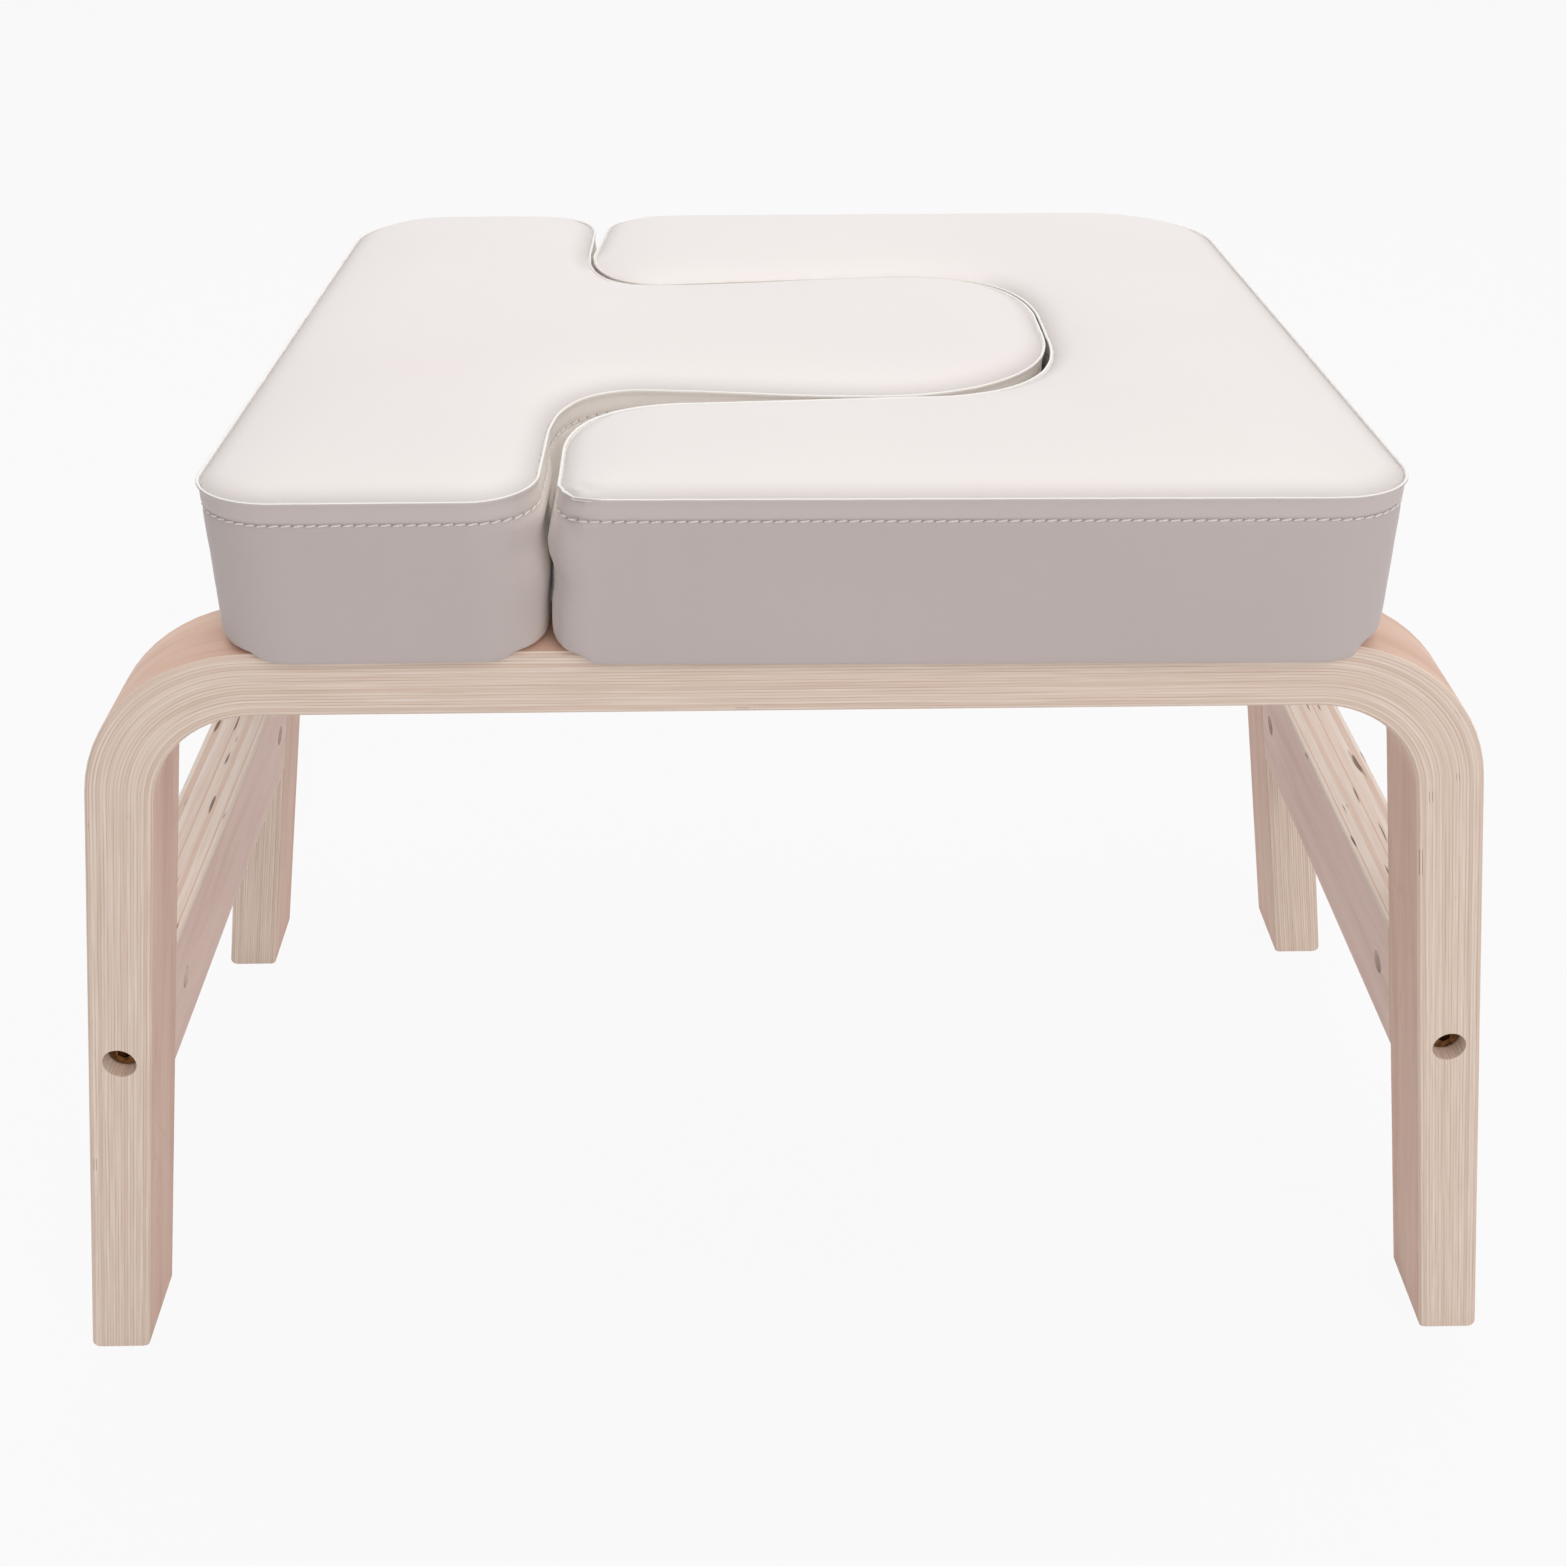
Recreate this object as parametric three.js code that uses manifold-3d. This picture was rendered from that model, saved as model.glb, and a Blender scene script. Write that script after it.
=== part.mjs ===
// Yoga headstand stool: two bent laminated frames, two stretchers and two interlocking pads.
// Millimetres, +Z up, +X along the stool, origin on the floor under the middle of the frames.
// The right pad is U-shaped and bolted down. The left pad is a T-shaped insert that lifts off
// and opens the gap for the neck.

import * as THREE from 'three';
import { mergeVertices } from 'three/addons/utils/BufferGeometryUtils.js';
import Module from 'manifold-3d';

const wasm = await Module();
wasm.setup();

// Fits and cuts
const seatGap = 0.25;
const slideGap = 0.5;
const overrun = 2;

// Bent frames
const footSpan = 620;
const frameHeight = 348;
const legSplay = THREE.MathUtils.degToRad(9.8);
const stripThickness = 25;
const stripWidth = 42.5;
const bendRadius = 68;
const frameSpacing = 282;
const footCornerRadius = 3;
const edgeChamfer = 1.2;
const bendSteps = 14;
const cornerSteps = 3;

// Stretchers
const stretcherCentreHeight = 163;
const stretcherHeight = 64;
const stretcherEdgeRadius = 1.5;

// Stretcher bolts and barrel nuts
const boltDiameter = 6;
const boltHeadDiameter = 12.9;
const boltHeadHeight = 7;
const boltHeadChamfer = 0.6;
const boltSink = 7;
const boltLength = 53;
const boltTipChamfer = 0.8;
const socketAcross = 5;
const socketDepth = 3.5;
const boreDiameter = 13.6;
const boltHoleDiameter = 7;
const boltHoleSpare = 4;
const nutDiameter = 10;
const nutLength = 14;
const nutHoleDepth = 20;
const nutEndDistance = 18;

// Pads
const padEndSetback = 105;
const padShift = 5;
const padSideOverhang = 5.75;
const padHeight = 60;
const rollWidth = 13;
const crownHeight = 10;
const crownReach = 18;
const headCornerRadius = 25;
const coverThickness = 1.6;
const coverWallInset = 3.2;
const foamGap = 0.6;
const boardInset = 6.4;
const boardThickness = 12;
const clothThickness = 0.8;
const hemThickness = 1.2;
const hemReachShare = 0.25;
const clothReachShare = 0.12;

// How far the cover's side stands in from the seam, and at what height
const seamTuck = 1.2;
const seamTuckDrop = 4;
const sideBellyInset = 0.4;
const sideBellyShare = 0.5;
const footTuck = 0.6;
const footTuckRise = 3.5;
const footInset = 2.4;
const clothInset = 4.5;
const innerFootInset = 6;
const innerFootRise = 7;
const innerSeamDrop = 1;
const innerRollInset = 6.5;
const outerRollInset = 2.5;
const crownShare = 0.45;

// T-shaped insert, seen from above
const insertHeadLength = 114.5;
const insertNeckRadius = 22;
const tongueReach = 100.5;
const tongueNeckHalf = 61.8;
const tongueBellyHalf = 71;
const tongueTipHalf = 15;
const tongueTipLength = 50;
const neckFilletLength = 33.5;
const neckFilletDepth = 47.2;
const headSpineInset = 57;
const tongueSpineInset = 62;

// U-shaped shoulder pad, seen from above
const padSplit = 4.5;
const armTipRadius = 16;
const notchClearance = 3;
const notchMouthHalf = 78.5;
const armInnerEaseLength = 39.5;
const armInnerEaseDepth = 38.5;
const armSpineInset = 46;
const spineCornerSize = 36;

// Pad bolts, tee nuts and washers
const padBoltTipInset = 36;
const padBoltEndInset = 65;
const padBoltHeadDiameter = 10.5;
const padBoltHeadHeight = 3.3;
const padBoltLength = 40;
const padSocketAcross = 4;
const padSocketDepth = 2;
const washerDiameter = 18;
const washerThickness = 1.6;
const teeFlangeDiameter = 19;
const teeFlangeThickness = 1.5;
const teeBarrelDiameter = 8;
const teeBarrelLength = 9;
const clothHoleSpare = 3;

// Locating dowels of the insert
const dowelEndInset = 28;
const dowelNeckInset = 28.5;
const dowelDiameter = 10;
const dowelDrop = 14;
const dowelChamfer = 1.2;
const dowelHoleSpare = 2;

const roundSteps = 20;
const boreSteps = 28;

// Sizes that follow from the ones above
const halfSpan = footSpan / 2;
const halfSpacing = frameSpacing / 2;
const halfStrip = stripWidth / 2;
const railUnderside = frameHeight - stripThickness;
const seamHeight = frameHeight + padHeight;
const splayRun = Math.tan(legSplay);
const padLength = footSpan - 2 * padEndSetback;
const padLeft = padShift - padLength / 2;
const padRight = padShift + padLength / 2;
const halfDepth = halfSpacing + halfStrip + padSideOverhang;
const insertHeadRight = padLeft + insertHeadLength;
const tongueTip = padShift + tongueReach;
const armTip = insertHeadRight + padSplit;
const notchEnd = tongueTip + notchClearance;
const notchHalf = tongueBellyHalf + notchClearance;
const backSpineInset = (padRight - notchEnd) / 2;
const padBoltPlaces = [armTip + padBoltTipInset, padRight - padBoltEndInset];
const dowelPlaces = [padLeft + dowelEndInset, insertHeadRight - dowelNeckInset];
const clothBase = frameHeight + seatGap;
const coverBase = clothBase + clothThickness + seatGap;
const boardBase = coverBase + hemThickness + seatGap;
const boardTop = boardBase + boardThickness;
const foamBase = boardTop + seatGap;

// Finishes
const material = (color, roughness, metalness = 0) =>
  new THREE.MeshStandardMaterial({ color, roughness, metalness });
const finishes = {
  beech: material(0xd9bfa8, 0.55),
  ply: material(0xd6b79c, 0.6),
  steel: material(0x8d7a5e, 0.35, 0.9),
  zinc: material(0xb9b9b4, 0.4, 0.9),
  leather: material(0xefebe6, 0.5),
  foam: material(0xf1e6b8, 0.95),
  cloth: material(0x2e2c2b, 0.95),
};

const stool = new THREE.Group();
const shoulderPad = new THREE.Group();
const insertPad = new THREE.Group();
stool.add(shoulderPad, insertPad);

function add(group, name, geometry, finish, position = [0, 0, 0], turn = 0) {
  const mesh = new THREE.Mesh(geometry, finish);
  mesh.name = name;
  mesh.position.set(...position);
  mesh.rotation.y = turn;
  group.add(mesh);
  return mesh;
}

// Closed meshes as solids that can be cut

function solid(geometry) {
  const bare = geometry.clone();
  bare.deleteAttribute('normal');
  bare.deleteAttribute('uv');
  const merged = mergeVertices(bare);
  const vertProperties = new Float32Array(merged.attributes.position.array);
  const corners = merged.index.array;
  const faces = [];
  for (let at = 0; at < corners.length; at += 3) {
    const [a, b, c] = corners.slice(at, at + 3);
    if (a !== b && b !== c && c !== a) {
      faces.push(a, b, c);
    }
  }
  const triVerts = new Uint32Array(faces);
  return new wasm.Manifold(new wasm.Mesh({ numProp: 3, vertProperties, triVerts }));
}

function geometryOf(body) {
  const mesh = body.getMesh();
  const geometry = new THREE.BufferGeometry();
  const positions = new THREE.BufferAttribute(new Float32Array(mesh.vertProperties), mesh.numProp);
  geometry.setAttribute('position', positions);
  geometry.setIndex(new THREE.BufferAttribute(new Uint32Array(mesh.triVerts), 1));
  return geometry;
}

function cut(geometry, tools) {
  let body = solid(geometry);
  for (const tool of tools) {
    body = body.subtract(solid(tool));
  }
  return geometryOf(body);
}

// A round rod from one height to another along an axis, for holes and plain shafts
function rod(diameter, from, to, axis, place, steps = roundSteps) {
  const geometry = new THREE.CylinderGeometry(diameter / 2, diameter / 2, to - from, steps);
  geometry.translate(0, (from + to) / 2, 0);
  if (axis === 'x') {
    geometry.rotateZ(-Math.PI / 2);
  }
  if (axis === 'z') {
    geometry.rotateX(Math.PI / 2);
  }
  geometry.translate(...place);
  return geometry;
}

// Revolves a profile of radius and height pairs that starts and ends on the axis
function revolve(profile) {
  const points = profile.map(([radius, height]) => new THREE.Vector2(radius, height));
  return new THREE.LatheGeometry(points, roundSteps);
}

// Leg places: how far out the outer face and the middle of the strip lie at a height
const outerFaceAt = (height) => halfSpan - height * splayRun;
const legMiddleAt = (height) => outerFaceAt(height) - stripThickness / (2 * Math.cos(legSplay));

// Bent frames

function arcPoints(centre, radius, from, to, steps) {
  const points = [];
  for (let step = 0; step <= steps; step += 1) {
    const angle = from + ((to - from) * step) / steps;
    points.push(new THREE.Vector2(centre.x + radius * Math.cos(angle), centre.y + radius * Math.sin(angle)));
  }
  return points;
}

// Rounds the corner between two straight runs
function roundedCorner(before, corner, after, radius) {
  const inward = before.clone().sub(corner).normalize();
  const outward = after.clone().sub(corner).normalize();
  const half = Math.acos(inward.dot(outward)) / 2;
  const bisector = inward.clone().add(outward).normalize();
  const centre = corner.clone().addScaledVector(bisector, radius / Math.sin(half));
  const start = corner.clone().addScaledVector(inward, radius / Math.tan(half)).sub(centre);
  const end = corner.clone().addScaledVector(outward, radius / Math.tan(half)).sub(centre);
  let sweep = end.angle() - start.angle();
  if (sweep > Math.PI) {
    sweep -= 2 * Math.PI;
  }
  if (sweep < -Math.PI) {
    sweep += 2 * Math.PI;
  }
  return arcPoints(centre, radius, start.angle(), start.angle() + sweep, cornerSteps);
}

function frameOutline() {
  const centreHeight = frameHeight - bendRadius;
  const centreX = halfSpan - centreHeight * splayRun - bendRadius / Math.cos(legSplay);
  const centre = new THREE.Vector2(centreX, centreHeight);
  const innerRadius = bendRadius - stripThickness;
  const outerFoot = new THREE.Vector2(halfSpan, 0);
  const innerFoot = new THREE.Vector2(halfSpan - stripThickness / Math.cos(legSplay), 0);
  const outerArc = arcPoints(centre, bendRadius, legSplay, Math.PI / 2, bendSteps);
  const innerArc = arcPoints(centre, innerRadius, Math.PI / 2, legSplay, bendSteps);
  const right = [
    ...innerArc,
    ...roundedCorner(innerArc[innerArc.length - 1], innerFoot, outerFoot, footCornerRadius),
    ...roundedCorner(innerFoot, outerFoot, outerArc[0], footCornerRadius),
    ...outerArc,
  ];
  const left = right.map((point) => new THREE.Vector2(-point.x, point.y)).reverse();
  return [...right, ...left];
}

// Extrudes a flat outline through a depth with a small chamfer on its long edges
function chamferedBoard(outline, depth, chamfer) {
  const geometry = new THREE.ExtrudeGeometry(new THREE.Shape(outline), {
    depth: depth - 2 * chamfer,
    steps: 1,
    bevelEnabled: chamfer > 0,
    bevelThickness: chamfer,
    bevelSize: chamfer,
    bevelOffset: -chamfer,
    bevelSegments: 1,
  });
  return geometry.translate(0, 0, chamfer - depth / 2);
}

function bentFrame(facing) {
  const blank = chamferedBoard(frameOutline(), stripWidth, edgeChamfer);
  blank.rotateX(Math.PI / 2);
  const tools = [];
  for (const side of [-1, 1]) {
    const place = [side * legMiddleAt(stretcherCentreHeight), 0, stretcherCentreHeight];
    const boreFloor = halfStrip - boltSink - boltHeadHeight - seatGap;
    const bore = rod(boreDiameter, boreFloor, halfStrip + overrun, 'y', [0, 0, 0], boreSteps);
    if (facing < 0) {
      bore.rotateZ(Math.PI);
    }
    tools.push(bore.translate(...place));
    tools.push(rod(boltHoleDiameter, -halfStrip - overrun, halfStrip, 'y', place));
  }
  for (const x of padBoltPlaces) {
    tools.push(rod(boltHoleDiameter, railUnderside - overrun, frameHeight + overrun, 'z', [x, 0, 0]));
  }
  const dowelFloor = frameHeight - dowelDrop - dowelHoleSpare;
  for (const x of dowelPlaces) {
    tools.push(rod(dowelDiameter + 2 * slideGap, dowelFloor, frameHeight + overrun, 'z', [x, 0, 0]));
  }
  return cut(blank, tools);
}

for (const [name, facing] of [['front_frame', -1], ['back_frame', 1]]) {
  add(stool, name, bentFrame(facing), finishes.beech, [0, facing * halfSpacing, 0]);
}

// Stretchers, tilted with the legs, with their inner face flush with the legs' inner face

const stretcherLength = frameSpacing - stripWidth - 2 * seatGap;

function stretcher(side) {
  const halfThickness = stripThickness / 2;
  const halfHeight = stretcherHeight / 2;
  const corners = [
    new THREE.Vector2(-halfThickness, -halfHeight),
    new THREE.Vector2(halfThickness, -halfHeight),
    new THREE.Vector2(halfThickness, halfHeight),
    new THREE.Vector2(-halfThickness, halfHeight),
  ];
  const outline = [];
  for (let index = 0; index < corners.length; index += 1) {
    const before = corners[(index + corners.length - 1) % corners.length];
    const after = corners[(index + 1) % corners.length];
    outline.push(...roundedCorner(before, corners[index], after, stretcherEdgeRadius));
  }
  const board = chamferedBoard(outline, stretcherLength, 0).rotateX(Math.PI / 2);
  const halfLength = stretcherLength / 2;
  const holeDepth = boltLength + boltSink + boltHeadHeight - stripWidth + boltHoleSpare;
  const nutPlace = halfSpacing - halfStrip - nutEndDistance;
  const nutHole = nutDiameter + 2 * seatGap;
  const tools = [];
  for (const end of [-1, 1]) {
    const far = end * (halfLength + overrun);
    const near = end * (halfLength - holeDepth);
    tools.push(rod(boltHoleDiameter, Math.min(far, near), Math.max(far, near), 'y', [0, 0, 0]));
    const mouth = -side * (halfThickness + overrun);
    const floor = -side * (halfThickness - nutHoleDepth);
    const place = [0, end * nutPlace, 0];
    tools.push(rod(nutHole, Math.min(mouth, floor), Math.max(mouth, floor), 'x', place, boreSteps));
  }
  return cut(board, tools);
}

// A socket-head bolt along Z with the underside of its head at zero and its tip pointing up
function socketBolt(headDiameter, headHeight, length, socket, depth) {
  const head = headDiameter / 2;
  const shank = boltDiameter / 2;
  const blank = revolve([
    [0, -headHeight],
    [head - boltHeadChamfer, -headHeight],
    [head, boltHeadChamfer - headHeight],
    [head, 0],
    [shank, 0],
    [shank, length - boltTipChamfer],
    [shank - boltTipChamfer, length],
    [0, length],
  ]);
  const hexRadius = socket / Math.sqrt(3);
  const hex = new THREE.CylinderGeometry(hexRadius, hexRadius, depth + overrun, 6);
  hex.translate(0, depth - headHeight - (depth + overrun) / 2, 0);
  return cut(blank, [hex]).rotateX(Math.PI / 2);
}

function barrelNut() {
  const halfNut = nutLength / 2;
  const barrel = rod(nutDiameter, -halfNut, halfNut, 'x', [0, 0, 0]);
  const hole = rod(boltDiameter + 2 * seatGap, -nutDiameter, nutDiameter, 'y', [0, 0, 0]);
  return cut(barrel, [hole]);
}

const sideNames = [['left', -1], ['right', 1]];
const endNames = [['front', -1], ['back', 1]];

for (const [sideName, side] of sideNames) {
  const x = side * legMiddleAt(stretcherCentreHeight);
  const turn = -side * legSplay;
  const centre = [x, 0, stretcherCentreHeight];
  add(stool, `${sideName}_stretcher`, stretcher(side), finishes.ply, centre, turn);
  for (const [endName, end] of endNames) {
    const headUnderside = end * (halfSpacing + halfStrip - boltSink - boltHeadHeight);
    const bolt = socketBolt(boltHeadDiameter, boltHeadHeight, boltLength, socketAcross, socketDepth);
    bolt.rotateX(end * Math.PI / 2);
    const boltName = `stretcher_bolt_${endName}_${sideName}`;
    add(stool, boltName, bolt, finishes.steel, [x, headUnderside, stretcherCentreHeight]);
    const nutPlace = end * (halfSpacing - halfStrip - nutEndDistance);
    const nutName = `barrel_nut_${endName}_${sideName}`;
    add(stool, nutName, barrelNut(), finishes.zinc, [x, nutPlace, stretcherCentreHeight], turn);
  }
}

// Pad outlines. Each is a loop of edge points, each paired with a point on the pad's middle
// line, so that rings between the two carry the rolled edge and the crown.

const vector = (x, y) => new THREE.Vector2(x, y);

// Where the pulls of a rounded corner stand, as shares of its length and depth
const filletShares = [0.57, 0.28];
const bellyShares = [0.35, 0.3];
const tipShares = [0.34, 0.6];
const mouthShares = [0.62, 0.7];

function ease(from, firstPull, secondPull, to, steps) {
  return new THREE.CubicBezierCurve(from, firstPull, secondPull, to).getPoints(steps);
}

function line(from, to, steps) {
  return new THREE.LineCurve(from, to).getPoints(steps);
}

// Pairs each edge point with the middle line, or with one point of it at the end of a run
function paired(edge, middle) {
  return edge.map((point, index) => [point, Array.isArray(middle) ? middle[index] : middle]);
}

// Joins the sections of the front half, then adds the back half as its mirror image
function wholeLoop(sections) {
  const half = [];
  for (const pair of sections.flat()) {
    const last = half[half.length - 1];
    if (!last || last[0].distanceTo(pair[0]) > seatGap) {
      half.push(pair);
    }
  }
  const back = half.slice(1, -1).map((pair) => pair.map((point) => vector(point.x, -point.y)));
  return [...half, ...back.reverse()];
}

// The rounded end that the tongue and the notch share, a clearance apart
function roundedEnd(tipX, endHalf, bellyHalf, steps) {
  const start = vector(tipX - tongueTipLength, -bellyHalf);
  const end = vector(tipX, -endHalf);
  const depth = bellyHalf - endHalf;
  const firstPull = vector(start.x + tongueTipLength * (1 - tipShares[0]), start.y);
  const secondPull = vector(tipX, end.y - depth * tipShares[1]);
  return ease(start, firstPull, secondPull, end, steps);
}

function insertLoop() {
  const spineX = padLeft + headSpineInset;
  const spineEnd = vector(spineX, headSpineInset - halfDepth);
  const junction = vector(spineX, 0);
  const headCentre = vector(padLeft + headCornerRadius, headCornerRadius - halfDepth);
  const neckCentre = vector(insertHeadRight - insertNeckRadius, insertNeckRadius - halfDepth);
  const filletStart = vector(insertHeadRight, -tongueNeckHalf - neckFilletDepth);
  const filletEnd = vector(insertHeadRight + neckFilletLength, -tongueNeckHalf);
  const fillet = ease(
    filletStart,
    vector(insertHeadRight, filletStart.y + neckFilletDepth * filletShares[0]),
    vector(insertHeadRight + neckFilletLength * filletShares[1], filletEnd.y),
    filletEnd,
    6,
  );
  const tip = roundedEnd(tongueTip, tongueTipHalf, tongueBellyHalf, 6);
  const sideLength = tip[0].x - filletEnd.x;
  const tongueSide = ease(
    filletEnd,
    vector(filletEnd.x + sideLength * bellyShares[0], filletEnd.y),
    vector(tip[0].x - sideLength * bellyShares[1], tip[0].y),
    tip[0],
    4,
  );
  const tongueSpineEnd = vector(tongueTip - tongueSpineInset, 0);
  const tongueSpineStart = vector(filletEnd.x, 0);
  const leftEdge = line(vector(padLeft, 0), vector(padLeft, headCentre.y), 4);
  const headCorner = arcPoints(headCentre, headCornerRadius, Math.PI, Math.PI * 1.5, 5);
  const neckCorner = arcPoints(neckCentre, insertNeckRadius, Math.PI * 1.5, Math.PI * 2, 5);
  const neckSide = [neckCorner[neckCorner.length - 1], ...fillet.slice(0, 4)];
  return wholeLoop([
    paired(leftEdge, line(junction, spineEnd, 4)),
    paired(headCorner, spineEnd),
    paired(neckCorner, spineEnd),
    paired(neckSide, line(spineEnd, junction, 4)),
    paired(fillet.slice(3), line(junction, tongueSpineStart, 3)),
    paired(tongueSide, line(tongueSpineStart, tongueSpineEnd, 4)),
    paired([...tip, vector(tongueTip, 0)], tongueSpineEnd),
  ]);
}

function shoulderLoop() {
  const backSpine = vector(padRight - backSpineInset, 0);
  const armSpineY = armSpineInset - halfDepth;
  const cornerBack = vector(backSpine.x, armSpineY + spineCornerSize);
  const cornerArm = vector(backSpine.x - spineCornerSize, armSpineY);
  const armSpineEnd = vector(armTip + armSpineInset, armSpineY);
  const endHalf = tongueTipHalf + notchClearance / 2;
  const notchEndCurve = roundedEnd(notchEnd, endHalf, notchHalf, 5).reverse();
  const notchCorner = [vector(notchEnd, 0), ...notchEndCurve];
  const mouth = vector(armTip + armInnerEaseLength, -notchMouthHalf);
  const armInner = vector(armTip, -notchMouthHalf - armInnerEaseDepth);
  const armEase = ease(
    mouth,
    vector(mouth.x - armInnerEaseLength * mouthShares[1], mouth.y),
    vector(armTip, armInner.y + armInnerEaseDepth * mouthShares[0]),
    armInner,
    6,
  );
  const tipCentre = vector(armTip + armTipRadius, armTipRadius - halfDepth);
  const outerCentre = vector(padRight - headCornerRadius, headCornerRadius - halfDepth);
  const tipCorner = arcPoints(tipCentre, armTipRadius, Math.PI, Math.PI * 1.5, 4);
  const outerCorner = arcPoints(outerCentre, headCornerRadius, Math.PI * 1.5, Math.PI * 2, 3);
  const frontEdge = line(tipCorner[tipCorner.length - 1], outerCorner[0], 4);
  const rightEdge = line(outerCorner[outerCorner.length - 1], vector(padRight, 0), 3);
  const notchSide = line(notchCorner[notchCorner.length - 1], mouth, 4);
  const notchSpine = [...line(backSpine, cornerBack, 3), ...line(cornerBack, cornerArm, 3).slice(1)];
  return wholeLoop([
    paired(notchCorner, notchSpine),
    paired(notchSide, line(cornerArm, armSpineEnd, 4)),
    paired(armEase, armSpineEnd),
    paired(tipCorner, armSpineEnd),
    paired(frontEdge, line(armSpineEnd, cornerArm, 4)),
    paired(outerCorner, line(cornerArm, cornerBack, 3)),
    paired(rightEdge, line(cornerBack, backSpine, 3)),
  ]);
}

// The direction into the pad at each edge point, long enough to keep parallel rings parallel
function inwardSteps(loop) {
  return loop.map(([point], index) => {
    const before = loop[(index + loop.length - 1) % loop.length][0];
    const after = loop[(index + 1) % loop.length][0];
    const first = point.clone().sub(before).normalize();
    const second = after.clone().sub(point).normalize();
    const inward = vector(-first.y - second.y, first.x + second.x).normalize();
    return inward.divideScalar(inward.dot(vector(-first.y, first.x)));
  });
}

function distanceToEdge(point, loop) {
  let least = Infinity;
  loop.forEach(([start], index) => {
    const end = loop[(index + 1) % loop.length][0];
    const run = end.clone().sub(start);
    const along = THREE.MathUtils.clamp(point.clone().sub(start).dot(run) / run.lengthSq(), 0, 1);
    least = Math.min(least, point.distanceTo(start.clone().addScaledVector(run, along)));
  });
  return least;
}

// Height of the padded top at a distance from the seam: it rises fast beside the seam, then levels out
function topAt(distance) {
  return seamHeight + crownHeight * (1 - Math.exp(-distance / crownReach));
}

// One ring round a pad. A height of null follows the padded top, less a drop.
function ring(loop, inset, share, height, drop = 0) {
  const inward = inwardSteps(loop);
  return loop.map(([edge, middle], index) => {
    const point = edge.clone().addScaledVector(inward[index], inset).lerp(middle, share);
    const z = height === null ? topAt(distanceToEdge(point, loop)) - drop : height;
    return new THREE.Vector3(point.x, point.y, z);
  });
}

// Skins a run of rings that starts and ends on the pad's middle line
function skin(rings) {
  const positions = [];
  const push = (...points) => {
    const [a, b, c] = points;
    if (a.distanceTo(b) > 0 && b.distanceTo(c) > 0 && c.distanceTo(a) > 0) {
      points.forEach((point) => positions.push(point.x, point.y, point.z));
    }
  };
  for (let level = 0; level + 1 < rings.length; level += 1) {
    const inner = rings[level];
    const outer = rings[level + 1];
    for (let index = 0; index < inner.length; index += 1) {
      const next = (index + 1) % inner.length;
      push(inner[index], outer[index], outer[next]);
      push(inner[index], outer[next], inner[next]);
    }
  }
  const geometry = new THREE.BufferGeometry();
  geometry.setAttribute('position', new THREE.Float32BufferAttribute(positions, 3));
  return mergeVertices(geometry);
}

function cover(loop) {
  const sideMiddle = THREE.MathUtils.lerp(coverBase, seamHeight, sideBellyShare);
  return skin([
    ring(loop, rollWidth, 1, null),
    ring(loop, rollWidth, crownShare, null),
    ring(loop, rollWidth, 0, null),
    ring(loop, innerRollInset, 0, null),
    ring(loop, outerRollInset, 0, null),
    ring(loop, 0, 0, seamHeight),
    ring(loop, seamTuck, 0, seamHeight - seamTuckDrop),
    ring(loop, sideBellyInset, 0, sideMiddle),
    ring(loop, footTuck, 0, coverBase + footTuckRise),
    ring(loop, footInset, 0, coverBase),
    ring(loop, footInset, hemReachShare, coverBase),
    ring(loop, footInset, hemReachShare, coverBase + hemThickness),
    ring(loop, innerFootInset, 0, coverBase + hemThickness),
    ring(loop, coverWallInset, 0, coverBase + innerFootRise),
    ring(loop, coverWallInset, 0, seamHeight - innerSeamDrop),
    ring(loop, innerRollInset, 0, null, coverThickness),
    ring(loop, rollWidth, 0, null, coverThickness),
    ring(loop, rollWidth, 1, null, coverThickness),
  ]);
}

function foam(loop) {
  const drop = coverThickness + foamGap;
  const wall = coverWallInset + foamGap;
  return skin([
    ring(loop, rollWidth, 1, null, drop),
    ring(loop, rollWidth, 0, null, drop),
    ring(loop, innerRollInset, 0, null, drop),
    ring(loop, wall, 0, seamHeight - innerSeamDrop - foamGap),
    ring(loop, wall, 0, foamBase),
    ring(loop, wall, 1, foamBase),
  ]);
}

// A flat sheet of the pad's shape, from one height upwards
function sheet(loop, inset, share, base, thickness, holes) {
  const outline = ring(loop, inset, share, 0).map((point) => vector(point.x, point.y));
  const blank = chamferedBoard(outline, thickness, 0).translate(0, 0, base + thickness / 2);
  return cut(blank, holes);
}

// Holes straight down through a sheet, at each place along both rails
function railHoles(places, diameter, from, to) {
  const tools = [];
  for (const x of places) {
    for (const end of [-1, 1]) {
      tools.push(rod(diameter, from, to, 'z', [x, end * halfSpacing, 0]));
    }
  }
  return tools;
}

function upholster(group, name, loop, boardTools, clothTools) {
  const board = sheet(loop, boardInset, 0, boardBase, boardThickness, boardTools);
  const cloth = sheet(loop, clothInset, clothReachShare, clothBase, clothThickness, clothTools);
  add(group, `${name}_board`, board, finishes.ply);
  add(group, `${name}_foam`, foam(loop), finishes.foam);
  add(group, `${name}_cover`, cover(loop), finishes.leather);
  add(group, `${name}_dust_cloth`, cloth, finishes.cloth);
}

// Shoulder pad, bolted up through the rails into tee nuts

function teeNut() {
  const bore = boltDiameter / 2 + seatGap;
  const flange = teeFlangeDiameter / 2;
  const barrel = teeBarrelDiameter / 2;
  const bottom = -teeFlangeThickness - teeBarrelLength;
  return revolve([
    [bore, bottom],
    [barrel, bottom],
    [barrel, -teeFlangeThickness],
    [flange, -teeFlangeThickness],
    [flange, 0],
    [bore, 0],
    [bore, bottom],
  ]).rotateX(Math.PI / 2);
}

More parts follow.
